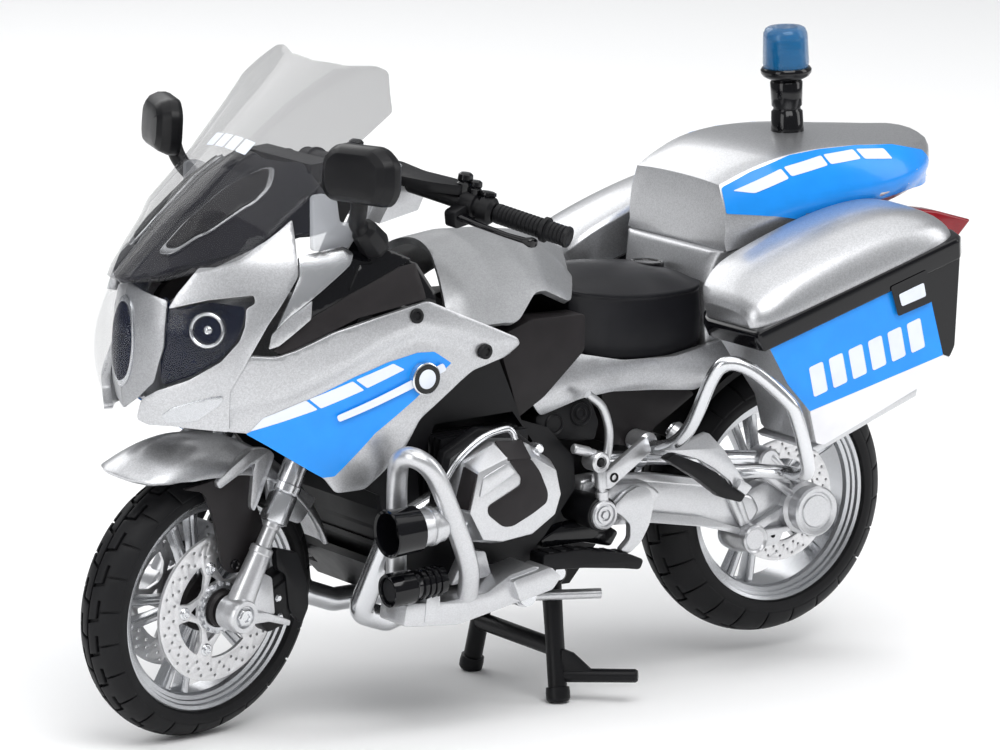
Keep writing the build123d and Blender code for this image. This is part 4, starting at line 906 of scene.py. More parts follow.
LID = curve_through([(-0.3, 3.4, 37.4, 24.4), (0.8, 4.9, 38.8, 22.8), (3.0, 6.5, 39.9, 21.0),
                     (8.0, 8.2, 40.5, 20.0), (18.0, 9.2, 40.6, 20.0), (28.0, 9.3, 40.6, 20.0),
                     (36.0, 8.5, 40.5, 20.0), (42.0, 6.9, 40.0, 20.0), (45.6, 4.8, 38.8, 20.0),
                     (47.4, 2.4, 36.6, 20.0)], 41)
lid_rings = []
for along, rise, outer, inner in LID:
    section = [(0.0, 0.0), (0.0, 0.86), (0.04, 0.97), (0.19, 1.0), (0.44, 0.985), (0.63, 0.93),
               (0.78, 0.84), (0.88, 0.70), (0.95, 0.50), (0.985, 0.26), (1.0, 0.0)]
    lid_rings.append([leaned(along, inner + across * (outer - inner), max(rise, 0.3) * share) for across,
                      share in section])
lids = loft("pannier_dome", lid_rings, SILVER, twin=True, bevel=0.5, segments=3, slot="silver_paint",
            smooth=42)
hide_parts("pannier_lids")

band_rings = []
for y, front, rear in ((19.6, 4.0, 48.0), (21.0, 1.6, 48.3), (23.8, -0.5, 48.4), (25.4, -0.8, 48.4),
                       (36.0, -0.8, 48.0), (39.4, -0.8, 46.8), (41.0, -0.6, 45.2)):
    band_rings.append([leaned(along, y, rise) for along,
                       rise in ((front, -3.4), (rear, -3.4), (rear + 0.7, -0.2), (rear + 0.2, 0.5),
                                (front, 0.5), (front - 0.6, -0.2))])
bands = loft("pannier_band", band_rings, GLOSS, twin=True, bevel=0.4, segments=3, slot="gloss_black")
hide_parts("pannier_rims")
tub_rings = []
for y, front, rear in ((20.2, 3.4, 0.0), (22.4, 0.8, 0.0), (24.6, 0.0, 0.0), (38.0, 0.0, 0.0),
                       (40.2, 0.2, -1.4)):
    tub_rings.append([leaned(along, y, rise) for along, rise in ((0.8 + front, -3.0),
        (6.2 + front, -18.0), (6.0 + front, -24.4), (7.6 + front, -25.4), (36.6 + rear, -23.0),
            (40.4 + rear, -20.6), (47.0 + rear, -3.0))])
tubs = loft("pannier_tub", tub_rings, SILVER, twin=True, bevel=0.6, segments=3, slot="silver_paint")
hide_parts("pannier_shells")


def tub_side(along, rise):
    """The pannier tub's outer face, with a faint crown."""
    crown = 0.25 * (1 - ((along - 24.0) / 24.0) ** 2)
    return Vector(leaned(along, 40.3 + crown * 0.4, rise))


decal("tub_film", [(0.9, -3.2), (3.0, -11.4), (6.3, -18.0), (37.3, -19.5), (37.3, -3.2)], tub_side, BLUE,
      0.10)
decal("tub_black", [(37.3, -3.2), (37.3, -19.4), (38.6, -20.4), (40.2, -18.8), (45.6, -3.2)], tub_side,
      GLOSS, 0.12, slot="gloss_black")
decal("tub_white", [(6.3, -18.0), (6.1, -24.2), (7.6, -25.2), (36.2, -22.8), (38.6, -20.6),
                    (37.3, -19.5)], tub_side, LOWER_WHITE, 0.08, slot="silver_paint")
for index in range(6):
    low = 7.8 + 4.55 * index
    foot = -15.8 - 0.12 * index
    decal(f"tub_block_{index}", [(low, foot), (low + 0.3, foot + 5.7), (low + 3.5, foot + 5.7),
                                 (low + 3.2, foot)], tub_side, WHITE, 0.18, radius=0.5,
          slot="silver_paint")
decal("tub_tag", [(29.0, -8.3), (28.8, -2.4), (37.4, -2.4), (37.0, -8.6)], lambda u,
      v: tub_side(u, v) + Vector((0, 0.6, 0)), GLOSS, 0.2, radius=0.5, slot="gloss_black")
decal("tub_tag_block", [(30.2, -6.8), (30.1, -4.4), (36.0, -4.4), (35.9, -7.0)], lambda u,
      v: tub_side(u, v) + Vector((0, 0.86, 0)), WHITE, 0.06, radius=0.4, slot="silver_paint")
step = [leaned(along, 0, rise) for along, rise in ((5.6, -25.2), (31.2, -23.4), (30.4, -25.2),
                                                   (6.6, -26.6))]
loft("pannier_step", [[(x, y, z) for x, _, z in step] for y in (22.0, 39.4)], CAST, twin=True, bevel=0.4,
     slot="silver_paint")

lamp = [(-66.0, 79.6), (-67.0, 82.6), (-76.8, 85.4), (-82.0, 84.6), (-90.2, 82.2), (-87.4, 79.4),
        (-84.0, 78.6)]
lamps = loft("tail_lamp_glass", [[(x, y, z) for x, z in lamp] for y in (14.2, 19.4)], RED, twin=True,
             bevel=0.5, segments=3, slot="tail_red")
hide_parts("tail_lamps")

tower_rings = []
for z, front, half, back in ((62.5, -32.8, 14.6, -46.0), (66.0, -32.8, 14.2, -50.0),
                             (70.0, -33.0, 14.0, -56.0), (74.0, -33.2, 14.0, -62.0),
                             (77.5, -33.8, 14.4, -70.0), (79.4, -34.4, 15.0, -74.0),
                             (80.3, -34.8, 15.6, -76.0)):
    lift = 7.2 if z > 79 else 3.4 if z > 76 else 0.0
    side = [(front, 0.0), (front, half - 2.4), (front - 0.8, half - 0.7), (front - 2.4, half),
            (back, half), (back - 1.0, 0.0)]
    tower_rings.append([(x, y, z + (lift if x <= back else 0.0)) for x, y in side]
                       + [(x, -y, z + (lift if x <= back else 0.0)) for x, y in reversed(side) if y > 0.01])
tower = loft("case_support", tower_rings, SILVER, bevel=0.4, slot="silver_paint", smooth=40)
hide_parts("case_tower")


# ---- beacon ---------------------------------------------------------------
BEACON_LOW, BEACON_HIGH = Vector((-61.3, 0, 97.6)), Vector((-60.24, 0, 118.4))
pole = turned("beacon_post", BEACON_LOW, BEACON_HIGH, [(0.0, 3.1), (0.06, 3.1), (0.235, 2.95),
                                                       (0.25, 2.6), (0.275, 2.6), (0.29, 2.9),
                                                       (0.50, 3.05), (0.515, 2.8), (0.53, 3.3),
                                                       (0.555, 4.3), (0.585, 4.75), (0.615, 4.8),
                                                       (0.635, 4.5)], GLOSS, slot="gloss_black",
              smooth=50)
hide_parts("beacon_pole")
turned("beacon_lamp", BEACON_LOW, BEACON_HIGH, [(0.60, 3.3), (0.72, 3.2), (0.73, 2.6), (0.80, 2.4),
                                                (0.81, 3.0), (0.845, 2.8), (0.86, 1.2)], GLOSS,
       slot="gloss_black")
dome = turned("beacon_cap", BEACON_LOW, BEACON_HIGH, [(0.63, 4.2), (0.68, 4.35), (0.90, 4.2), (0.95, 4.1),
                                                      (0.965, 3.9), (0.985, 3.75), (1.0, 3.2), (1.0, 2.4),
                                                      (0.965, 2.2), (0.945, 3.3), (0.90, 3.55),
                                                      (0.66, 3.7)], DOME, slot="beacon_blue", smooth=50)
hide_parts("beacon_dome")


# ---- wheels ---------------------------------------------------------------
def at_front(points):
    """Points of the front wheel's own frame, in the model's frame."""
    return steered([FRONT_AXLE + Vector(p) for p in points])


def at_rear(points):
    """Points of the rear wheel's own frame, in the model's frame."""
    return [REAR_AXLE + Vector(p) for p in points]


def round_axle(angle, radius, y):
    """A point of a wheel in its own frame."""
    return Vector((radius * math.cos(angle), y, radius * math.sin(angle)))


def hoop(name, place, profile, look, body, sides=120, **options):
    """A ring about a wheel's axle; profile is its closed cross-section of (y, radius)."""
    points, faces = [], []
    count = len(profile)
    for k in range(sides):
        points.extend(round_axle(2 * math.pi * k / sides, r, y) for y, r in profile)
        n = (k + 1) % sides
        for i in range(count):
            j = (i + 1) % count
            faces.append((k * count + i, k * count + j, n * count + j, n * count + i))
    return piece(name, place(points), faces, look, body, **options)


def plate(name, place, outline, holes, y_low, y_high, look, body, **options):
    """A flat plate square to the axle, with holes: outlines are (x, z) in the wheel's own frame."""
    loops = [outline, *holes]
    flat, owned, start = [], [], 0
    for ring in loops:
        flat.extend(Vector(p) for p in ring)
        owned.append(list(range(start, start + len(ring))))
        start += len(ring)
    verts, _, faces, _, _, _ = geometry.delaunay_2d_cdt(flat, [], owned, 5, 1e-5)
    count = len(verts)
    points = [Vector((v.x, y, v.y)) for y in (y_low, y_high) for v in verts]
    solid = [tuple(f) for f in faces] + [tuple(i + count for i in reversed(f)) for f in faces]
    edges = {(f[k], f[(k + 1) % len(f)]) for f in faces for k in range(len(f))}
    solid.extend((b, a, a + count, b + count) for a, b in edges if (b, a) not in edges)
    return piece(name, place(points), solid, look, body, **options)


def polar(pairs):
    """(radius, degrees) pairs as (x, z)."""
    return [(r * math.cos(math.radians(a)), r * math.sin(math.radians(a))) for r, a in pairs]


def circle(x, z, radius, sides):
    """A round outline."""
    return [(x + radius * math.cos(2 * math.pi * k / sides), z + radius * math.sin(2 * math.pi * k / sides))
            for k in range(sides)]


RIM_R = 19.5
TREAD_SECTORS = 24
TREAD_DEPTH = 0.75
GROOVE = 0.34


def tyre(name, place, body, node_name, radius, half, crown, rim_half):
    """A tyre: a smooth carcass with two rows of hooked tread blocks."""
    bend = (half * half + crown * crown) / (2 * crown)
    reach = math.asin(min(1.0, half / bend))

    def crown_point(across, lift):
        angle = across / bend
        return bend * math.sin(angle), radius - bend + (bend + lift) * math.cos(angle)

    arc = [crown_point(bend * t, -TREAD_DEPTH) for t in np.linspace(-reach, reach, 23)]
    wall = [(half - 0.02, radius - crown - 0.9), (half - 0.15, radius - crown - 1.6),
            (rim_half + 1.1, RIM_R + 1.1), (rim_half + 0.8, RIM_R + 0.5), (rim_half + 0.25, RIM_R + 0.35),
            (rim_half, RIM_R + 0.05)]
    profile = arc + wall + [(-y, r) for y, r in reversed(wall)]
    carcass = hoop(name + "_carcass", place, profile, RUBBER, body, slot="tyre_rubber", smooth=50)
    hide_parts(node_name)
    pitch = 2 * math.pi * radius / TREAD_SECTORS
    edge = bend * reach * 0.93
    step = edge * 0.34
    block = [(GROOVE, GROOVE * 0.5), (pitch - GROOVE, GROOVE * 0.5), (pitch + 0.5, step + GROOVE),
             (pitch + 1.9, step + GROOVE), (pitch + 2.5, edge), (2.95, edge), (2.3, step + GROOVE),
             (4.2, step + GROOVE), (4.2, step - GROOVE), (0.8, step - GROOVE)]
    flat, tris = fill(block, 1.1)
    points, faces = [], []
    count = len(flat)
    edges = {(t[k], t[(k + 1) % 3]) for t in tris for k in range(3)}
    border = [(a, b) for a, b in edges if (b, a) not in edges]
    for side in (1, -1):
        for sector in range(TREAD_SECTORS):
            base = len(points)
            start = 2 * math.pi * (sector + (0.5 if side < 0 else 0.0)) / TREAD_SECTORS
            for lift in (0.0, -TREAD_DEPTH - 0.1):
                for p in flat:
                    y, r = crown_point(p.y, lift)
                    points.append(round_axle(start + p.x / radius, r, side * y))
            faces.extend(tuple(base + i for i in t) for t in tris)
            faces.extend(tuple(base + count + i for i in reversed(t)) for t in tris)
            faces.extend((base + b, base + a, base + a + count, base + b + count) for a, b in border)
    piece(name + "_tread", place(points), faces, RUBBER, body, bevel=0.13, slot="tyre_rubber", smooth=40)


def wheel_rim(name, place, body, node_name, half, hub_half, spoke_width):
    """A cast rim: hoop with a stepped lip, five double spokes and a turned hub."""
    side = [(half, RIM_R), (half + 0.35, RIM_R + 0.2), (half + 0.5, RIM_R - 0.15),
            (half + 0.3, RIM_R - 0.75), (half - 0.35, RIM_R - 0.95), (half - 0.5, RIM_R - 1.45),
            (half - 1.0, RIM_R - 1.6), (half - 1.2, RIM_R - 2.3), (half - 1.9, RIM_R - 2.7)]
    ring = hoop(name + "_hoop", place, side + [(-y, r) for y, r in reversed(side)], RIM, body,
                slot="rim_silver", smooth=28)
    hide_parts(node_name)
    points, faces = [], []
    for index in range(5):
        for lean in (-1, 1):
            base = len(points)
            turn = 2 * math.pi * index / 5
            for share in (0.0, 0.12, 0.5, 0.88, 1.0):
                r = 3.6 + (RIM_R - 2.2 - 3.6) * share
                off = lean * (0.7 + 1.75 * share ** 1.1)
                wide = spoke_width * (0.62 - 0.12 * math.sin(math.pi * share))
                deep = 1.9 - 0.5 * math.sin(math.pi * share)
                for dz, dy in ((-wide, -deep * 0.7), (-wide * 0.5, -deep), (wide * 0.5, -deep),
                               (wide, -deep * 0.7), (wide, deep * 0.7), (wide * 0.5, deep),
                               (-wide * 0.5, deep), (-wide, deep * 0.7)):
                    x, z = r, off + dz
                    points.append(Vector((x * math.cos(turn) - z * math.sin(turn), dy,
                                          x * math.sin(turn) + z * math.cos(turn))))
            for s in range(4):
                for k in range(8):
                    n = (k + 1) % 8
                    faces.append((base + s * 8 + k, base + s * 8 + n, base + s * 8 + 8 + n,
                                  base + s * 8 + 8 + k))
            faces.append(tuple(base + k for k in range(8)))
            faces.append(tuple(base + 32 + k for k in reversed(range(8))))
    piece(name + "_spokes", place(points), faces, RIM, body, bevel=0.18, slot="rim_silver", smooth=30)
    hub = [(-hub_half, 1.65), (-hub_half, 2.9), (-hub_half + 0.4, 3.3), (-5.0, 3.4), (-2.9, 3.4),
           (-2.6, 4.9), (-2.2, 5.3), (2.2, 5.3), (2.6, 4.9), (2.9, 3.4), (5.0, 3.4),
           (hub_half - 0.4, 3.3), (hub_half, 2.9), (hub_half, 1.65)]
    hoop(name + "_hub", place, hub, DARK, body, sides=48, slot="rim_silver", smooth=30)


def wheel_disc(name, place, body, radius, y_low, y_high, node_name=None):
    """A brake disc: drilled band, V-shaped arms with bolts and a castellated centre ring."""
    scale = radius / 13.6
    outline = polar([(radius, 360 * k / 90) for k in range(90)])
    windows = []
    for index in range(5):
        arm, mid = 72 * index, 72 * index + 36
        shape = [(9.3, mid + a) for a in (-25, -17, -9, 0, 9, 17, 25)] + [(7.0, mid + 24), (5.1, mid + 8),
            (5.1, mid - 8), (7.0, mid - 24)]
        windows.append(rounded(polar([(r * scale, a) for r, a in shape]), 0.35, 3))
        tip = polar([(6.4 * scale, arm), (4.9 * scale, arm + 15), (4.9 * scale, arm - 15)])
        windows.append(rounded(tip, 0.25, 3))
    holes = []
    for row, inset in enumerate((1.0, 2.1, 3.2)):
        holes.extend(circle(*polar([(radius - inset * scale, 15 * k + 5 * row)])[0], 0.31 * scale,
                            8) for k in range(24))
    hub_hole = circle(0, 0, 3.5, 32)
    made = plate(name, place, outline, [*windows, *holes, hub_hole], y_low, y_high, DISC, body, bevel=0.06,
                 slot="disc_steel", smooth=30)
    if node_name:
        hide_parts(node_name)
    out = y_high if y_low > 0 else y_low
    way = 1 if out > 0 else -1
    teeth = []
    for k in range(16):
        for a, r in ((0, 4.75), (11.2, 4.75), (11.3, 4.2), (22.4, 4.2)):
            teeth.append((r, 22.5 * k + a))
    low, high = sorted((out - way * 0.2, out + way * 0.7))
    plate(name + "_crown", place, polar(teeth), [circle(0, 0, 3.5, 32)], low, high, RIM, body, bevel=0.1,
          slot="rim_silver", smooth=30)
    for index in range(5):
        x, z = polar([(7.9 * scale, 72 * index)])[0]
        start, end = place([(x, out - way * 0.3, z), (x, out + way * 0.75, z)])
        turned(f"{name}_bolt_{index}", start, end, [(0, 1.15), (0.45, 1.15), (0.6, 1.0), (0.62, 0.75),
                                                    (0.95, 0.7), (1.0, 0.5), (0.8, 0.4), (0.75, 0.1)],
               CHROME, body, sides=18, slot="pin_steel", smooth=40)


tyre("front_tyre", at_front, "front_wheel", "front_tyre", 25.0, 5.0, 3.4, 3.7)
tyre("rear_tyre", at_rear, "rear_wheel", "rear_tyre", 26.25, 7.25, 5.0, 5.8)
wheel_rim("front_rim", at_front, "front_wheel", "front_rim", 3.7, 7.8, 1.5)
wheel_rim("rear_rim", at_rear, "rear_wheel", "rear_rim", 5.8, 7.6, 1.7)
wheel_disc("front_disc_left", at_front, "front_wheel", 13.6, 5.3, 6.0, "front_brake_discs")
wheel_disc("front_disc_right", at_front, "front_wheel", 13.6, -6.0, -5.3)
wheel_disc("rear_disc", at_rear, "rear_wheel", 11.6, 6.4, 7.1, "rear_brake_disc")


# ---- front end ------------------------------------------------------------
def front_pair(name, rings, look, node_name=None, **options):
    """A lofted piece of the front end and its twin, drawn for straight ahead on the rider's left."""
    for side, word in ((1, "left"), (-1, "right")):
        moved = [steered([(p[0], side * p[1], p[2]) for p in ring]) for ring in rings]
        made = loft(f"{name}_{word}", moved, look, "steering", **options)
        if node_name and side > 0:
            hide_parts(node_name)


def front_turned(name, start, end, profile, look, node_name=None, **options):
    """A turned piece of the front end and its twin, drawn for straight ahead on the rider's left."""
    for side, word in ((1, "left"), (-1, "right")):
        ends = steered([(start[0], side * start[1], start[2]), (end[0], side * end[1], end[2])])
        made = turned(f"{name}_{word}", *ends, profile, look, "steering", **options)
        if node_name and side > 0:
            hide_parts(node_name)


def slices(outline, y_low, y_high):
    """A side-view outline at two widths."""
    return [[(x, y, z) for x, z in outline] for y in (y_low, y_high)]


def front_slab(name, outline, corner, y_low, y_high, look, node_name=None, **options):
    """A flat piece beside the front wheel and its twin, its outline (x, z) measured from the axle."""
    placed = [(FRONT_AXLE.x + x, FRONT_AXLE.z + z) for x, z in rounded(outline, corner)]
    front_pair(name, slices(placed, y_low, y_high), look, node_name, **options)


FORK_FOOT = FRONT_AXLE + Vector((0, 10.6, 0))


def up_fork(height):
    """A place on the left fork leg's own line, by its distance above the axle."""
    return FORK_FOOT + STEER_UP * height


front_turned("fork_boot", up_fork(0.0), up_fork(12.8), [(0, 1.9), (0.02, 2.4), (0.2, 2.45), (0.88, 2.0),
                                                        (0.9, 2.15), (0.98, 2.1), (1.0, 1.8), (1.0, 1.2)],
             CAST, "fork_legs", slot="rim_silver", smooth=30)
front_turned("fork_slider", up_fork(12.0), up_fork(18.0), [(0, 1.45), (0.7, 1.35), (0.75, 1.6),
    (1.0, 1.6)], CAST, slot="rim_silver", smooth=30)
front_turned("fork_collar", up_fork(17.2), up_fork(23.2), [(0, 1.9), (0.06, 2.6), (0.94, 2.6),
    (1.0, 2.2)], CHROME, sides=6, bevel=0.15, slot="rim_silver", smooth=20)
front_turned("fork_tube", up_fork(23.0), up_fork(39.4), [(0, 2.2), (0.02, 2.55), (0.1, 2.6), (0.11, 2.35),
                                                         (0.9, 2.35), (0.92, 2.6), (1.0, 2.6)], CHROME,
             slot="rim_silver", smooth=30)
front_turned("fork_lug", FORK_FOOT - Vector((0, 2.1, 0)), FORK_FOOT + Vector((0, 2.7, 0)),
             [(0, 1.8), (0, 2.8), (0.08, 3.15), (0.88, 3.15), (1.0, 2.85), (1.0, 2.1), (0.95, 1.95),
              (0.9, 1.75)], CAST, slot="rim_silver", smooth=30)
front_turned("axle_nut", FORK_FOOT + Vector((0, 2.0, 0)), FORK_FOOT + Vector((0, 3.1, 0)),
             [(0, 1.7), (0.7, 1.7), (1.0, 1.4), (1.0, 0.8), (0.6, 0.7), (0.6, 0.1)], CHROME, sides=6,
             bevel=0.08, slot="pin_steel", smooth=20)


GUARD_R = 27.5
GUARD_HALF = 9.0
GUARD_TURN = np.radians([42, 48, 55, 62, 70, 78, 85, 99, 111, 125, 145, 165])
GUARD_CROWN = [33.4, 33.0, 32.8, 32.7, 32.4, 31.8, 31.0, 29.8, 28.8, 28.0, 27.5, 27.5]
GUARD_DROP = [1.2, 2.2, 4.2, 5.6, 6.8, 7.2, 6.9, 5.6, 4.8, 4.4, 4.4, 4.4]


def guard(a, w):
    """The front mudguard's skin: distance round the wheel and distance across."""
    lean = max(-1.0, min(1.0, w / 12.0)) * math.pi / 2
    turn = a / GUARD_R
    crown = float(np.interp(turn, GUARD_TURN, GUARD_CROWN))
    drop = float(np.interp(turn, GUARD_TURN, GUARD_DROP))
    at = round_axle(turn, crown - drop * (1 - math.cos(lean)), GUARD_HALF * math.sin(lean))
    return steered([FRONT_AXLE + at])[0]


guard_half = [(25.0, 0.0), (25.2, 3.0), (26.4, 6.6), (28.8, 9.2), (33.0, 10.6), (45.0, 11.2),
              (52.0, 11.9), (58.0, 12.0), (66.0, 11.4), (76.0, 9.6), (77.6, 7.0), (78.2, 0.0)]
mudguard = panel("guard_shell", rounded(across(guard_half), 1.0), guard,
                 SILVER, thick=1.0, cell=1.5, bevel=0.4, twin=False, body="steering",
                 outward=lambda at: at - steered([FRONT_AXLE])[0], slot="silver_paint")
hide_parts("front_fender")
front_slab("guard_wing", [(4.6, 24.2), (1.0, 26.7), (-3.6, 29.3), (-7.2, 28.8), (-8.8, 27.4),
                          (-7.6, 24.6), (-5.6, 19.4), (-4.6, 17.6), (-3.7, 18.6), (-4.0, 25.3),
                          (-4.5, 26.8), (-0.6, 25.0), (3.8, 23.0)], 0.8, 7.4, 9.0, SILVER, bevel=0.3,
           slot="silver_paint")
front_slab("guard_tail", [(-7.0, 24.6), (-12.0, 22.6), (-19.6, 17.6), (-16.0, 13.4), (-9.0, 16.4)], 1.2,
           7.5, 8.7, SILVER, bevel=0.3, slot="silver_paint")
front_slab("guard_blade", [(11.4, 23.8), (4.9, 24.4), (2.3, 25.2), (-3.6, 27.4), (-5.4, 25.6),
                           (-5.2, 20.0), (-8.2, 13.5), (-4.8, 8.3), (-3.0, 6.5), (-0.2, 6.7), (1.4, 8.4),
                           (3.4, 15.7), (4.9, 19.6), (6.6, 22.6)], 1.0, 7.3, 8.1, DARK, "fender_blades",
           bevel=0.25, slot="matt_black")
blade_pin = FRONT_AXLE + Vector((-1.4, 8.0, 8.2))
front_turned("blade_eye", blade_pin, blade_pin + Vector((0, 0.5, 0)),
             [(0, 1.0), (0.7, 1.0), (1.0, 0.8), (0.6, 0.6), (0.6, 0.1)], GLOSS, sides=20,
             slot="matt_black", smooth=30)
front_slab("caliper", [(-13.2, -4.0), (-8.4, -5.2), (-6.4, -3.0), (-7.2, 4.4), (-11.6, 6.4),
                       (-14.6, 1.6)], 0.8, 6.9, 10.2, MATT, "front_calipers", bevel=0.5,
           slot="engine_black")
front_slab("caliper_guard", [(-8.4, 10.8), (-13.6, 9.2), (-16.4, 3.0), (-17.0, -1.4), (-15.6, -4.4),
                             (-12.4, -1.4), (-11.0, 5.6), (-9.0, 6.8)], 0.8, 9.6, 11.0, MATT, bevel=0.3,
           slot="engine_black")
front_slab("caliper_cap", [(-12.6, -2.6), (-9.2, -3.6), (-8.4, 2.8), (-11.4, 4.4), (-13.2, 1.2)], 0.6,
           10.0, 10.7, MATT, bevel=0.2, slot="engine_black")
front_slab("caliper_plate", [(-2.0, 4.6), (-4.4, 7.4), (-7.6, 5.6), (-8.8, -1.4), (-2.2, -0.2)], 0.5,
           10.4, 11.3, CAST, bevel=0.2, slot="cast_silver")
front_slab("caliper_link", [(-1.6, 0.4), (-1.6, -2.0), (-6.6, -2.2), (-11.6, -3.8), (-11.8, -2.8),
                            (-6.0, -0.4)], 0.4, 10.9, 12.2, CAST, bevel=0.25, slot="cast_silver")
for index, (x, z) in enumerate(((-9.6, 1.4), (-10.2, -2.2))):
    at = FRONT_AXLE + Vector((x, 10.6, z))
    front_turned(f"caliper_bolt_{index}", at, at + Vector((0, 0.7, 0)),
                 [(0, 0.8), (0.6, 0.8), (1.0, 0.5), (1.0, 0.1)], CHROME, sides=6, slot="pin_steel",
                 smooth=20)

GRIP_IN = Vector((22.6, 14.2, 95.4))
GRIP_OUT = Vector((15.6, 34.2, 92.4))
GRIP_RUN = GRIP_OUT - GRIP_IN
rings = [(0.0, 1.3), (0.0, 1.8)]
for k in range(17):
    rings.extend([(0.03 + 0.055 * k, 1.85), (0.055 + 0.055 * k, 1.85), (0.062 + 0.055 * k, 1.68),
                  (0.078 + 0.055 * k, 1.68)])
rings.extend([(0.97, 2.0), (1.0, 1.9), (1.01, 1.4), (0.995, 0.9), (0.995, 0.1)])
front_turned("grip", GRIP_IN + GRIP_RUN * 0.36, GRIP_IN + GRIP_RUN * 1.04, rings, MATT, "grips", sides=28,
             slot="grip_rubber", smooth=30)
front_turned("grip_flange", GRIP_IN + GRIP_RUN * 0.80, GRIP_IN + GRIP_RUN * 0.84,
             [(0, 1.7), (0.1, 2.3), (0.9, 2.3), (1.0, 1.7)], MATT, slot="grip_rubber", smooth=30)
front_turned("control_body", GRIP_IN + GRIP_RUN * 0.02, GRIP_IN + GRIP_RUN * 0.34,
             [(0, 1.5), (0.04, 2.2), (0.2, 2.4), (0.42, 2.3), (0.46, 1.9), (0.58, 1.9), (0.62, 2.6),
              (0.9, 2.5), (1.0, 1.8)], MATT, "bar_controls", sides=24, slot="matt_black", smooth=30)
for index, (share, lift, wide) in enumerate(((0.02, 5.6, 1.5), (0.12, 4.8, 1.3), (0.24, 3.6, 1.7))):
    at = GRIP_IN + GRIP_RUN * share + Vector((-0.3, 0, 0.8))
    front_turned(f"control_knob_{index}", at, at + Vector((-0.4, 0, lift - 1.2)),
                 [(0, wide), (0.55, wide), (0.62, wide * 0.8), (0.72, wide * 0.95), (0.92, wide * 0.9),
                  (1.0, wide * 0.6), (1.0, 0.1)], GLOSS, sides=18, slot="matt_black", smooth=30)
lever_a = GRIP_IN + GRIP_RUN * 0.10 + Vector((3.0, 0, -1.6))
lever_b = GRIP_IN + GRIP_RUN * 0.86 + Vector((3.6, 0, -1.8))
lever_run = lever_b - lever_a


def lever_ring(share, half, thick):
    """The lever's cross-section at a share of its length, bowed away from the grip."""
    at = lever_a + lever_run * share + Vector((1.2 * math.sin(math.pi * share), 0, 0))
    return [at + Vector(o) for o in ((half, 0, thick * 0.5), (half * 0.5, 0, thick),
                                     (-half * 0.5, 0, thick), (-half, 0, thick * 0.5),
                                     (-half, 0, -thick * 0.5), (-half * 0.5, 0, -thick),
                                     (half * 0.5, 0, -thick), (half, 0, -thick * 0.5))]


front_pair("lever", [lever_ring(s, h, t) for s, h, t in ((0.0, 1.3, 0.7), (0.12, 1.2, 0.6),
                                                         (0.3, 0.75, 0.5), (0.7, 0.6, 0.45),
                                                         (0.9, 0.7, 0.55), (0.96, 1.0, 0.9),
                                                         (1.0, 0.9, 0.8))], GLOSS, bevel=0.15,
           slot="matt_black")
front_pair("lever_pivot", slices(rounded([(20.6, 92.0), (26.2, 91.2), (26.8, 94.2), (21.0, 96.4)], 0.8),
                                 14.6, 17.4), MATT, bevel=0.3, slot="matt_black")
plate_plan = rounded([(31.6, 0.0), (31.2, 6.0), (27.6, 11.6), (23.4, 15.6), (20.6, 14.4), (22.0, 10.6),
                      (24.0, 6.4), (24.4, 0.0)], 1.0)
plate_ring = across(plate_plan)
loft("clamp_plate", [steered([(x, y, z - 0.10 * abs(y)) for x, y in plate_ring]) for z in (98.2, 100.0)],
     MATT, "steering", bevel=0.35, slot="matt_black")
front_turned("clamp_bolt", (27.8, 3.0, 99.6), (27.6, 3.0, 100.4),
             [(0, 0.9), (0.7, 0.9), (1.0, 0.6), (0.6, 0.45), (0.6, 0.1)], CHROME, sides=16,
             slot="pin_steel", smooth=30)


# ---- mirrors, screen brackets and instruments -----------------------------
MIRROR_AT = Vector((52.7, 32.5, 104.5))
MIRROR_X = Vector((0.3, -0.954, 0.0)).normalized()
MIRROR_OUT = Vector((0.954, 0.3, 0.06)).normalized()
MIRROR_UP = MIRROR_X.cross(MIRROR_OUT).normalized()
MIRROR_LINE = rounded([(-6.6, -4.8), (6.4, -4.8), (7.8, -2.5), (7.6, 2.8), (5.0, 5.0), (-4.8, 5.2),
                       (-7.8, 2.8), (-8.0, -2.3)], 1.4)


def mirror_ring(share, depth):
    """The mirror's outline, drawn smaller or larger, at a depth."""
    return [MIRROR_AT + MIRROR_X * (x * share) + MIRROR_UP * (y * share) + MIRROR_OUT * depth for x,
            y in MIRROR_LINE]


housing = loft("mirror_shell", [mirror_ring(s, d) for s,
                                d in ((0.90, 0.5), (0.98, 0.0), (1.03, 0.8), (1.02, 2.2), (0.90, 3.7),
                                      (0.74, 4.5), (0.5, 4.7))], MIRROR_BACK, twin=True, bevel=0.12,
               slot="gloss_black", smooth=24)
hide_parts("mirrors")
face = loft("mirror_glass", [mirror_ring(s, d) for s, d in ((0.88, 0.6), (0.89, 0.15), (0.86, 0.0))],
            GLASS_MIRROR, twin=True, slot="mirror_face")
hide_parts("mirror_glasses")
tube("mirror_arm", [(53.6, 31.2, 101.4), (53.0, 30.6, 99.0), (52.2, 29.0, 96.9), (51.0, 26.8, 95.0),
                    (48.6, 25.2, 92.8)], 1.5, MATT, twin=True, slot="matt_black", smooth=50)
turned("mirror_foot", (49.6, 26.0, 94.2), (45.0, 23.6, 89.8),
       [(0, 1.5), (0.15, 2.4), (0.8, 2.9), (1.0, 2.6)], MATT, sides=8, twin=True, bevel=0.2,
       slot="matt_black", smooth=20)
# The screen brackets get the pale clear look, a painted highlight for their bright clear edges.
prism("screen_bracket", [(56.9, 89.8), (57.0, 99.6), (54.5, 99.8), (52.1, 98.7), (51.4, 94.4),
                         (43.4, 93.7), (46.2, 89.9)], 0.8, 20.8, 22.0, EDGE, twin=True, bevel=0.3,
      slot="clear_plastic")
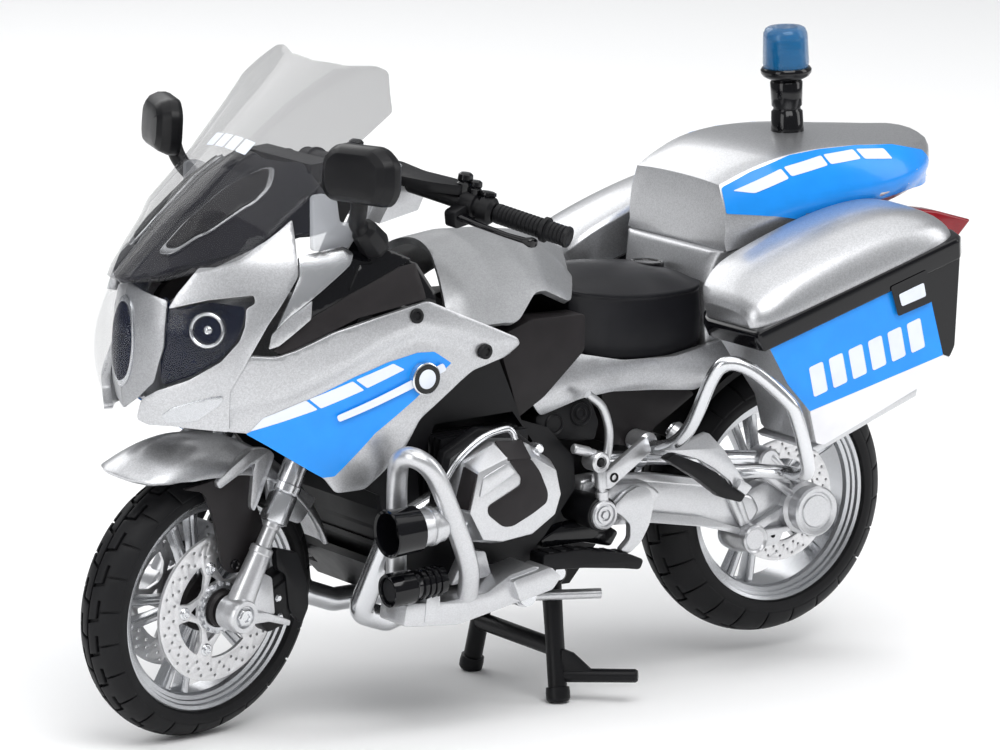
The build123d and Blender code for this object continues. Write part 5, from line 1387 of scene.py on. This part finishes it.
for index, (side, radius) in enumerate(((1, 3.3), (-1, 3.3), (0, 1.6))):
    at = Vector((43.6, 5.4 * side, 100.3 if side else 97.6))
    way = Vector((-0.80, 0, 0.60))
    turned(f"dial_{index}", at - way * 0.4, at + way * 0.8,
           [(0, radius), (0.7, radius), (1.0, radius * 0.92), (0.9, radius * 0.84), (0.5, radius * 0.8),
            (0.5, 0.1)], GLOSS, slot="matt_black", smooth=30)
    turned(f"dial_ring_{index}", at + way * 0.5, at + way * 0.7,
           [(0, radius * 0.84), (1.0, radius * 0.84), (1.0, radius * 0.76), (0, radius * 0.76)], CHROME,
           caps=False, slot="silver_paint", smooth=30)
    turned(f"dial_face_{index}", at + way * 0.1, at + way * 0.35,
           [(0, radius * 0.78), (1.0, radius * 0.78), (1.0, 0.1)], DARK, slot="silver_paint", smooth=30)


# ---- engine, guards and lamps ---------------------------------------------
def flat_at(y):
    """A plane square to Y, as a surface of (x, z)."""
    return lambda x, z: Vector((x, y, z))


HEAD_FACE = [(29.2, 49.6), (31.0, 42.4), (28.1, 37.2), (23.9, 36.5), (17.6, 37.2), (12.8, 40.2),
             (11.6, 43.7), (12.7, 48.2), (17.4, 51.0), (23.6, 51.4)]
HEAD_EDGE = [(29.6, 50.6), (31.8, 42.6), (28.7, 36.4), (24.0, 35.5), (17.0, 36.1), (11.8, 39.4),
             (10.4, 43.6), (11.4, 49.2), (16.6, 52.9), (23.8, 53.7)]
HEAD_BACK = [(31.0, 51.8), (33.0, 42.4), (29.6, 35.6), (24.0, 34.6), (16.6, 35.2), (10.8, 38.8),
             (9.4, 43.6), (10.4, 50.0), (16.2, 54.6), (23.8, 55.4)]
head = loft("head_cover", [[(x, y, z) for x, z in ring] for ring,
                           y in ((HEAD_EDGE, 24.2), (HEAD_EDGE, 29.2), (HEAD_FACE, 33.0))], CAST,
            twin=True, bevel=0.35, slot="cast_silver", smooth=22)
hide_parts("head_covers")
loft("head_gasket", [[(x, y, z) for x, z in HEAD_BACK] for y in (22.4, 24.4)], MATT, twin=True, bevel=0.3,
     slot="engine_black", smooth=22)
panel("head_inlay", rounded([(18.4, 51.0), (16.4, 48.4), (14.6, 44.4), (14.8, 42.6), (17.9, 40.9),
                             (22.1, 39.1), (24.1, 39.2), (27.2, 41.7), (27.3, 43.3), (20.4, 46.4),
                             (20.3, 47.7), (23.0, 51.1)], 0.8), flat_at(33.0), DARK, thick=0.4, lift=0.3,
      cell=2.0, bevel=0.18, outward=going_left, slot="engine_black")
loft("head_inlay_top", [[(23.2, 33.2, 51.2), (18.2, 33.2, 51.0), (17.6, 29.2, 53.6), (23.4, 29.2, 54.0)],
                        [(23.2, 32.6, 50.6), (18.2, 32.6, 50.4), (17.6, 28.8, 52.8), (23.4, 28.8, 53.2)]],
     DARK, twin=True, bevel=0.15, slot="engine_black")
loft("head_front", [[(29.6, 32.9, 49.3), (31.3, 32.9, 42.9), (32.1, 29.2, 42.9), (30.1, 29.2, 50.1)],
                    [(29.0, 32.6, 49.1), (30.6, 32.6, 42.9), (31.4, 29.2, 42.9), (29.4, 29.2, 50.0)]],
     DARK, twin=True, bevel=0.15, slot="engine_black")
panel("head_ridge", rounded([(28.4, 48.6), (29.2, 45.0), (21.6, 48.9), (23.6, 50.6)], 0.5), flat_at(33.0),
      CAST, thick=0.4, lift=0.35, cell=2.0, bevel=0.18, outward=going_left, slot="cast_silver")
tube("head_strap", [(33.6, 26.6, 43.6), (32.9, 27.0, 46.4), (29.9, 27.4, 51.0), (25.0, 27.8, 54.5),
                    (20.6, 28.2, 55.6), (19.2, 28.4, 55.0), (18.7, 28.6, 53.6)], 0.62, CHROME, twin=True,
     slot="bright_tube", smooth=50)
for index, (x, z) in enumerate(((11.0, 41.4), (14.2, 51.6), (30.6, 38.6))):
    turned(f"head_bolt_{index}", (x, 27.5, z), (x, 30.2, z),
           [(0, 0.9), (0.85, 0.9), (1.0, 0.6), (1.0, 0.1)], CHROME, twin=True, sides=16,
           slot="bright_tube", smooth=30)

bar = tube("crash_tube", [(40.2, 23.5, 25.4), (41.6, 25.6, 38.0), (43.2, 28.2, 49.4), (44.0, 30.8, 53.2),
                          (42.6, 33.6, 53.6), (39.6, 34.9, 50.4), (35.2, 34.4, 41.4), (31.4, 33.2, 33.0),
                          (29.4, 30.0, 27.0)], 1.85, CAST, twin=True, slot="bright_tube", smooth=50)
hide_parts("crash_bars")
prism("crash_foot", [(42.6, 22.6), (31.0, 21.6), (19.0, 24.0), (12.6, 25.6), (11.2, 28.2), (14.6, 30.4),
                     (20.0, 29.4), (25.0, 26.8), (34.0, 26.2), (42.0, 26.8)], 0.8, 21.5, 29.8, CAST,
      twin=True, bevel=0.6, slot="bright_tube")
prism("crash_box", [(20.6, 28.6), (12.4, 30.2), (10.2, 28.2), (12.0, 26.0), (19.0, 24.6)], 0.6, 24.6,
      31.4, CAST, twin=True, bevel=0.7, slot="bright_tube")
prism("crash_web", [(29.6, 27.6), (26.2, 33.6), (22.4, 33.0), (21.0, 28.4)], 0.5, 22.6, 25.0, CAST,
      twin=True, bevel=0.3, slot="cast_silver")

lamp = turned("fog_bezel", (42.0, 32.6, 40.9), (48.2, 32.6, 40.6),
              [(0, 3.2), (0.04, 4.1), (0.5, 4.2), (0.96, 4.35), (1.0, 4.15), (0.96, 3.7), (0.35, 3.2),
               (0.3, 1.6), (0.4, 1.4), (0.42, 0.7), (0.3, 0.6), (0.3, 0.1)], GLOSS, twin=True, sides=48,
              slot="lamp_black", smooth=30)
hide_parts("fog_lamps")
turned("fog_housing", (36.4, 32.6, 41.2), (42.2, 32.6, 40.9),
       [(0, 1.6), (0.04, 2.7), (0.12, 3.1), (0.4, 3.25), (0.42, 3.5), (0.56, 3.5), (0.58, 3.25),
        (0.95, 3.6), (1.0, 3.4)], CAST, twin=True, sides=48, slot="cast_silver", smooth=30)
turned("fog_stay", (40.6, 31.0, 40.9), (41.4, 27.0, 41.2), [(0, 1.5), (0.3, 1.2), (1.0, 1.4)], CAST,
       twin=True, sides=16, slot="cast_silver", smooth=30)
ribs = [(0, 1.5), (0.03, 2.5)]
for k in range(4):
    ribs.extend([(0.08 + 0.1 * k, 2.55), (0.12 + 0.1 * k, 2.55), (0.13 + 0.1 * k, 2.85),
                 (0.16 + 0.1 * k, 2.85), (0.17 + 0.1 * k, 2.55)])
ribs.extend([(0.56, 2.7), (0.6, 3.05), (0.96, 3.1), (1.0, 2.9), (0.99, 2.45), (0.95, 2.3), (0.9, 2.2)])
lamp = turned("spot_barrel", (34.0, 29.2, 30.2), (45.8, 29.2, 29.4), ribs, GLOSS, twin=True, sides=48,
              slot="lamp_black", smooth=30)
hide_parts("spot_lamps")
turned("spot_glass", (44.0, 29.2, 29.5), (45.4, 29.2, 29.42),
       [(0, 2.2), (0.8, 2.3), (1.0, 1.9), (1.0, 0.1)], MATT, twin=True, sides=48, slot="lamp_black",
       smooth=30)
prism("spot_stay", [(35.0, 22.8), (38.4, 22.8), (37.8, 28.6), (35.2, 28.6)], 0.4, 28.0, 30.0, CAST,
      twin=True, bevel=0.2, slot="cast_silver")


# ---- swingarm, pegs, guards and stand --------------------------------------
arm = prism("swing_arm", [(-5.6, 40.8), (-12.0, 41.2), (-21.4, 39.6), (-30.2, 37.8), (-39.1, 35.2),
                          (-44.6, 33.6), (-46.4, 30.6), (-44.6, 28.2), (-40.9, 27.5), (-32.6, 29.4),
                          (-20.9, 31.4), (-10.0, 32.2), (-5.0, 35.6)], 1.0, 9.4, 14.2, CAST, bevel=0.9,
            segments=3, slot="cast_silver")
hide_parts("swingarm")
prism("swing_rib_high", [(-7.0, 41.9), (-21.4, 40.4), (-30.2, 38.6), (-40.0, 35.8), (-40.3, 34.6),
                         (-30.2, 37.2), (-21.4, 38.9), (-7.0, 40.5)], 0.3, 13.4, 15.6, CAST, bevel=0.3,
      slot="cast_silver")
prism("swing_rib_low", [(-7.0, 34.0), (-20.9, 33.2), (-32.2, 31.0), (-40.6, 28.0), (-41.4, 26.6),
                        (-32.4, 29.2), (-20.9, 31.3), (-7.0, 32.2)], 0.3, 13.4, 15.4, CAST, bevel=0.3,
      slot="cast_silver")
prism("swing_web", [(-42.0, 33.4), (-47.6, 35.6), (-52.4, 35.2), (-57.4, 33.4), (-58.6, 28.0),
                    (-54.0, 25.8), (-46.6, 24.4), (-42.0, 24.6)], 1.0, 9.6, 13.2, CAST, bevel=0.7,
      slot="cast_silver")
prism("swing_rib_mid", [(-43.6, 27.6), (-51.8, 31.0), (-52.4, 30.0), (-46.2, 26.8), (-53.8, 26.8),
                        (-53.6, 26.0), (-45.6, 25.2)], 0.2, 13.0, 14.6, CAST, bevel=0.2,
      slot="cast_silver")
prism("swing_plate", [(-44.4, 24.8), (-53.4, 26.2), (-52.0, 23.2), (-45.0, 22.4)], 0.6, 11.0, 12.4, CAST,
      bevel=0.25, slot="cast_silver")
for index, (x, z) in enumerate(((-46.2, 23.9), (-48.2, 24.4), (-50.6, 24.8), (-48.0, 23.4))):
    turned(f"swing_rivet_{index}", (x, 12.2, z), (x, 12.7, z),
           [(0, 0.42), (0.7, 0.42), (1.0, 0.25), (1.0, 0.05)], MATT, sides=12, slot="pin_steel",
           smooth=30)
drive = [(0, 4.0), (0.06, 4.9), (0.62, 4.9), (0.68, 4.3), (0.86, 4.3), (0.9, 4.75), (0.97, 4.75),
         (1.0, 4.4), (0.985, 3.7), (0.955, 3.5), (0.95, 3.1), (0.975, 2.9), (0.98, 0.1)]
turned("drive_cap", (-56.0, 8.2, 30.0), (-56.0, 18.8, 30.0), drive, CAST, sides=64, slot="cast_silver",
       smooth=26)
turned("lower_cap", (-43.0, 9.4, 25.9), (-43.0, 17.6, 25.9),
       [(0, 3.0), (0.3, 3.3), (0.6, 2.9), (0.84, 2.5), (0.9, 2.7), (0.97, 2.7), (1.0, 2.4), (0.98, 2.1),
        (0.95, 1.9), (0.955, 0.1)], CAST, sides=48, slot="cast_silver", smooth=26)
for index, (a, b) in enumerate((((-44.6, 14.6, 38.8), (-53.6, 14.6, 32.4)),
                                ((-48.6, 13.8, 40.6), (-55.0, 13.8, 34.6)),
                                ((-40.4, 14.4, 34.4), (-42.6, 14.8, 28.4)),
                                ((-38.6, 14.4, 34.6), (-41.8, 14.8, 28.2)))):
    turned(f"drive_rib_{index}", a, b, [(0, 0.4), (0.05, 0.75), (0.95, 0.75), (1.0, 0.4)], CAST, sides=16,
           slot="cast_silver", smooth=40)
turned("shock_strut", (-9.0, 12.0, 44.0), (-48.2, 12.0, 39.6),
       [(0, 1.5), (0.3, 1.5), (0.31, 1.15), (0.62, 1.15), (0.63, 1.7), (0.98, 1.7), (1.0, 1.3)], CHROME,
       sides=28, slot="bright_tube", smooth=30)
turned("strut_eye", (-48.2, 10.0, 39.6), (-48.2, 14.4, 39.6),
       [(0, 2.0), (0.08, 2.4), (0.92, 2.4), (1.0, 2.0), (0.96, 1.4), (0.96, 0.1)], CAST, sides=32,
       slot="cast_silver", smooth=30)

shift = tube("gear_arm", [(-2.4, 20.6, 58.2), (-5.4, 20.8, 55.6), (-6.8, 21.0, 51.6), (-6.6, 21.2, 47.6),
                          (-5.4, 21.4, 44.6)], 0.8, CAST, slot="cast_silver", smooth=50)
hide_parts("peg_carriers")
turned("gear_knuckle", (-3.8, 19.4, 45.9), (-3.8, 23.4, 45.9),
       [(0, 1.6), (0.06, 1.9), (0.94, 1.9), (1.0, 1.6), (0.98, 1.1), (0.9, 1.0), (0.9, 0.1)], CAST,
       sides=28, slot="cast_silver", smooth=30)
turned("gear_ball", (-3.8, 22.6, 45.9), (-3.8, 23.6, 45.9),
       [(0, 0.9), (0.5, 0.9), (1.0, 0.5), (1.0, 0.1)], MATT, sides=20, slot="pin_steel", smooth=40)
turned("gear_clevis", (1.4, 21.6, 48.8), (-3.4, 21.6, 47.4),
       [(0, 0.7), (0.05, 0.95), (0.7, 0.95), (0.8, 0.7), (1.0, 0.7)], CAST, sides=16, slot="cast_silver",
       smooth=30)
turned("gear_rod", (-4.6, 21.6, 44.6), (-5.2, 21.6, 38.4),
       [(0, 0.9), (0.1, 1.15), (0.6, 1.15), (0.62, 0.8), (0.7, 0.8), (0.72, 1.2), (1.0, 1.2)], CAST,
       sides=16, slot="cast_silver", smooth=30)
turned("peg_pivot", (-5.0, 13.0, 36.0), (-5.0, 22.2, 36.0),
       [(0, 3.0), (0.8, 3.2), (0.98, 3.2), (1.0, 2.9), (1.0, 0.1)], MATT, twin=True, sides=40,
       slot="engine_black", smooth=30)
turned("peg_cap", (-5.0, 22.0, 36.0), (-5.0, 23.2, 36.0), [(0, 2.7), (0.7, 2.7), (1.0, 2.45), (0.95, 2.1),
    (0.6, 2.0), (0.6, 1.7), (0.9, 1.6), (0.9, 1.1), (0.5, 1.0), (0.5, 0.7), (0.95, 0.6), (0.95, 0.1)],
       CAST, twin=True, sides=40, slot="cast_silver", smooth=30)
prism("peg_arm", [(-6.3, 43.2), (-15.6, 49.0), (-16.6, 46.2), (-14.0, 44.4), (-7.7, 40.2), (-6.2, 40.2)],
      0.5, 19.4, 20.8, CAST, twin=True, bevel=0.3, slot="cast_silver")
turned("peg_arm_eye", (-8.3, 20.4, 42.2), (-8.3, 21.1, 42.2),
       [(0, 0.9), (0.8, 0.9), (1.0, 0.6), (0.5, 0.5), (0.5, 0.1)], MATT, twin=True, sides=20,
       slot="pin_steel", smooth=30)
prism("peg_plate", [(-8.0, 36.4), (-11.4, 39.0), (-14.0, 40.0), (-16.6, 38.9), (-17.4, 36.2),
                    (-16.4, 32.4), (-14.6, 29.4), (-12.0, 27.6), (-10.0, 28.4), (-12.2, 30.4),
                    (-12.2, 33.0), (-10.6, 34.6)], 0.7, 19.2, 20.7, CAST, twin=True, bevel=0.35,
      slot="cast_silver")
prism("peg_link", [(-7.6, 38.4), (-9.8, 40.4), (-17.4, 40.0), (-20.4, 37.6), (-19.0, 35.6), (-9.0, 34.6)],
      0.6, 15.2, 18.6, CAST, twin=True, bevel=0.5, slot="cast_silver")
peg = prism("rider_peg", [(7.6, 29.9), (-0.4, 29.9), (-11.5, 27.8), (-14.6, 26.4), (-13.8, 24.6),
                          (-10.5, 25.2), (-1.4, 26.4), (7.6, 27.0)], 0.7, 17.2, 21.8, MATT, twin=True,
            bevel=0.6, slot="grip_rubber")
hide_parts("footrests")
for index in range(7):
    x = 5.6 - 2.7 * index
    z = 30.1 if x > 0 else 30.0 + 0.19 * (x + 0.4)
    prism(f"peg_ridge_{index}", [(x + 0.6, z - 0.9), (x + 0.6, z + 0.1), (x - 0.6, z),
                                 (x - 0.6, z - 1.0)], 0.2, 17.6, 21.4, RUBBER, twin=True, bevel=0.15,
          slot="grip_rubber")
prism("peg_shield", [(4.9, 31.6), (0.2, 33.6), (-7.3, 34.2), (-12.2, 30.9), (-10.5, 28.4), (-4.4, 29.9),
                     (4.6, 29.9)], 0.7, 14.4, 17.0, GLOSS, twin=True, bevel=0.5, slot="matt_black")
prism("pillion_plate", [(-15.4, 47.4), (-19.0, 47.6), (-22.0, 48.8), (-25.2, 49.7), (-28.8, 46.2),
                        (-33.8, 39.4), (-31.7, 38.0), (-30.4, 40.1), (-26.6, 43.0), (-22.9, 45.1),
                        (-19.1, 46.3)], 0.5, 24.9, 26.3, CAST, twin=True, bevel=0.3, slot="cast_silver")
prism("pillion_pad", [(-17.6, 46.6), (-22.4, 44.6), (-26.8, 42.2), (-30.8, 38.8), (-33.6, 37.6),
                      (-32.4, 36.0), (-28.0, 37.4), (-22.4, 41.6), (-15.6, 45.8)], 0.5, 24.6, 27.0, MATT,
      twin=True, bevel=0.4, slot="grip_rubber")
prism("pillion_tip", [(-34.4, 38.8), (-32.2, 40.4), (-31.0, 38.8), (-33.0, 37.4)], 0.2, 25.4, 27.6, CAST,
      twin=True, bevel=0.2, slot="cast_silver")

GUARD_LOOP = [(-18.0, 12.6, 46.8), (-18.2, 22.0, 46.9), (-18.9, 29.0, 51.6), (-20.2, 34.4, 62.0),
              (-22.0, 36.6, 64.6), (-25.8, 38.9, 63.2), (-31.0, 41.6, 58.2), (-33.4, 42.0, 54.4),
              (-36.4, 41.6, 45.4), (-37.6, 38.6, 42.8), (-39.6, 31.6, 41.6), (-37.0, 26.6, 41.3),
              (-31.8, 21.2, 41.6), (-26.5, 12.6, 48.0)]
loop_left = tube("guard_loop", GUARD_LOOP, 1.32, CHROME, twin=True, slot="bright_tube", smooth=50, sides=24)
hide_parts("pannier_guards")
for index, (a, b) in enumerate((((-17.9, 13.0, 46.8), (-18.1, 18.0, 46.8)),
                                ((-26.6, 13.0, 47.6), (-28.2, 15.8, 45.9)))):
    turned(f"guard_socket_{index}", a, b, [(0, 1.8), (0.1, 2.1), (0.9, 2.1), (1.0, 1.5)], CAST, twin=True,
           sides=24, slot="cast_silver", smooth=30)


# ---- centre stand ----------------------------------------------------------
STAND_X, STAND_Z = -2.4, 23.4
for side, word in ((1, "left"), (-1, "right")):
    leg = turned(f"stand_leg_{word}", (STAND_X, side * 9.6, 22.4), (-1.0, side * 14.6, 0.02),
                 [(0, 1.4), (0.03, 1.9), (0.12, 1.85), (0.4, 1.75), (0.88, 1.75), (0.885, 2.15),
                  (0.93, 2.25), (0.98, 2.2), (1.0, 1.9)], STAND, "centre_stand", sides=32,
                 slot="stand_black", smooth=30)
    turned(f"stand_sleeve_{word}", (STAND_X, side * 6.4, STAND_Z), (STAND_X, side * 11.8, STAND_Z),
           [(0, 1.9), (0.06, 2.25), (0.94, 2.25), (1.0, 1.9)], STAND, "centre_stand", sides=32,
           slot="stand_black", smooth=30)
    if side > 0:
        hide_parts("centre_stand")
turned("stand_bar", (-1.6, -12.6, 9.6), (-1.6, 12.6, 9.6),
       [(0, 1.2), (0.02, 1.65), (0.98, 1.65), (1.0, 1.2)], STAND, "centre_stand", sides=28,
       slot="stand_black", smooth=30)
turned("stand_lever", (-1.8, 13.8, 4.7), (-12.5, 23.3, 5.2),
       [(0, 1.0), (0.02, 1.3), (0.97, 1.25), (1.0, 0.95)], STAND, "centre_stand", sides=24,
       slot="stand_black", smooth=30)
LEVER_WAY = Vector((-10.7, 9.5, 0.5)).normalized()
corners = [(0.4, 9.8), (0.4, 4.4), (8.6, 4.6), (6.4, 5.6), (4.2, 7.6), (2.6, 9.0)]
side_step = Vector((LEVER_WAY.y, -LEVER_WAY.x, 0.0)) * 0.6
web = [Vector((-1.6, 13.9, 0.0)) + LEVER_WAY * a + Vector((0, 0, z - LEVER_WAY.z * a)) for a, z in corners]
loft("stand_web", [[p - side_step for p in web], [p + side_step for p in web]], STAND, "centre_stand",
     bevel=0.2, slot="stand_black")


# ---- covers below the seat and at the back ---------------------------------
def tail(x, z):
    """The subframe cover's skin, a little fuller in its middle."""
    middle = np.interp(-x, [-8, 13, 36, 74], [58.0, 60.0, 63.0, 76.0])
    return Vector((x, 17.2 - 0.05 * (z - middle) ** 2, z))


cover = panel("tail_cover", rounded([(5.0, 54.2), (8.1, 57.7), (3.6, 61.4), (-1.3, 65.2), (-12.6, 62.8),
                                     (-24.0, 62.4), (-35.4, 64.4), (-36.2, 70.0), (-66.0, 79.0),
                                     (-74.0, 76.0), (-60.0, 66.0), (-36.0, 57.6), (-30.6, 55.0),
                                     (-20.0, 56.4), (-10.4, 57.2), (-3.3, 56.6)], 0.9), tail, SILVER,
              thick=2.4, cell=1.8, bevel=0.4, outward=going_left, slot="silver_paint")
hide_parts("tail_covers")
box = prism("side_box", [(-10.6, 56.8), (-30.0, 55.2), (-31.6, 53.8), (-22.0, 48.0), (-18.6, 45.4),
                         (-12.0, 46.6)], 0.6, 6.2, 13.0, DARK, twin=True, bevel=0.5, slot="matt_black")
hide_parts("side_boxes")
prism("side_cover", [(5.6, 54.2), (0.4, 56.0), (-4.3, 57.3), (-6.2, 56.9), (-8.5, 51.6), (-7.6, 48.2),
                     (-2.0, 48.8), (5.6, 50.4)], 0.8, 9.0, 15.8, MATT, twin=True, bevel=0.6,
      slot="matt_black")
for index, (x, z, r) in enumerate(((-4.2, 53.6, 2.3), (-4.2, 53.6, 1.2), (1.6, 52.2, 2.0))):
    turned(f"cover_ring_{index}", (x, 15.6, z), (x, 16.15, z),
           [(0, r), (0.7, r), (1.0, r - 0.15), (0.7, r - 0.4), (0, r - 0.45)], MATT, twin=True, sides=32,
           caps=False, slot="matt_black", smooth=40)
knee = prism("knee_panel", [(15.8, 70.0), (8.0, 72.6), (-3.4, 72.4), (-3.4, 65.8), (5.4, 58.0),
                            (11.0, 54.8), (12.4, 60.0)], 0.8, 12.6, 18.2, DARK, twin=True, bevel=0.7,
             slot="dark_grey")
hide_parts("knee_panels")


# ---- CAD pieces that stay -------------------------------------------------
EDGE_WIDTH = 0.22
EDGE_FROM = math.radians(32)
SPECIAL_WIDTH = {"front_tyre": 0.0, "rear_tyre": 0.0, "front_brake_discs": 0.0, "rear_brake_disc": 0.0,
                 "cylinders": 0.12,}
for name, cad in frame["nodes"].items():
    width = SPECIAL_WIDTH.get(name, EDGE_WIDTH)
    if cad.hide_render or width == 0.0:
        continue
    edge = cad.modifiers.new("edge", "BEVEL")
    edge.width = width * MM
    edge.segments = 2
    edge.limit_method = "ANGLE"
    edge.angle_limit = EDGE_FROM
    edge.harden_normals = False


# ---- stage ----------------------------------------------------------------
FLOOR_SIZE = 6.0
FLOOR_DROP = 0.0002
bpy.ops.mesh.primitive_plane_add(size=FLOOR_SIZE, location=(0, 0, -FLOOR_DROP))
floor = bpy.context.object
floor.name = "floor"
floor.data.materials.append(material("floor_white", (0.96, 0.96, 0.96), 0.9, specular=0.1))


def softbox(name, at, aim, size, power):
    """A soft studio lamp pointing at a place."""
    data = bpy.data.lights.new(name, "AREA")
    data.shape = "RECTANGLE"
    data.size, data.size_y = size
    data.energy = power
    lamp = bpy.data.objects.new(name, data)
    lamp.location = at
    lamp.rotation_euler = (Vector(aim) - Vector(at)).to_track_quat("-Z", "Y").to_euler()
    bpy.context.collection.objects.link(lamp)


softbox("key", (0.15, 0.55, 0.75), (0, 0, 0.05), (0.7, 0.5), 4.5)
softbox("front", (0.85, 0.25, 0.35), (0, 0, 0.06), (0.35, 0.6), 1.8)
softbox("rear", (-0.75, 0.45, 0.45), (0, 0, 0.06), (0.35, 0.6), 1.8)
softbox("back", (0.0, -0.8, 0.6), (0, 0, 0.06), (0.9, 0.4), 2.5)
softbox("overhead", (0.0, 0.0, 1.7), (0, 0, 0), (2.6, 2.6), 24.0)
world = bpy.data.worlds.new("studio")
bpy.context.scene.world = world
world.use_nodes = True
world.node_tree.nodes["Background"].inputs["Color"].default_value = (0.95, 0.97, 1.0, 1)
world.node_tree.nodes["Background"].inputs["Strength"].default_value = 0.30

LENS_LENGTH = 217.17
SENSOR_WIDTH = 36.0
VIEW_RIGHT = Vector((-0.83122, 0.55584, 0.01070)).normalized()
VIEW_AHEAD = Vector((-0.54680, -0.81393, -0.19628)).normalized()
camera_data = bpy.data.cameras.new("camera")
camera_data.lens = LENS_LENGTH
camera_data.sensor_width = SENSOR_WIDTH
camera_data.clip_start = 0.1
camera_data.clip_end = 12.0
camera = bpy.data.objects.new("camera", camera_data)
bpy.context.collection.objects.link(camera)
view_up = VIEW_RIGHT.cross(VIEW_AHEAD).normalized()
turn = Matrix((VIEW_RIGHT, view_up, -VIEW_AHEAD)).transposed().to_4x4()
camera.matrix_world = Matrix.Translation(EYE * MM) @ turn
bpy.context.scene.camera = camera
bpy.context.scene.view_settings.view_transform = "Standard"
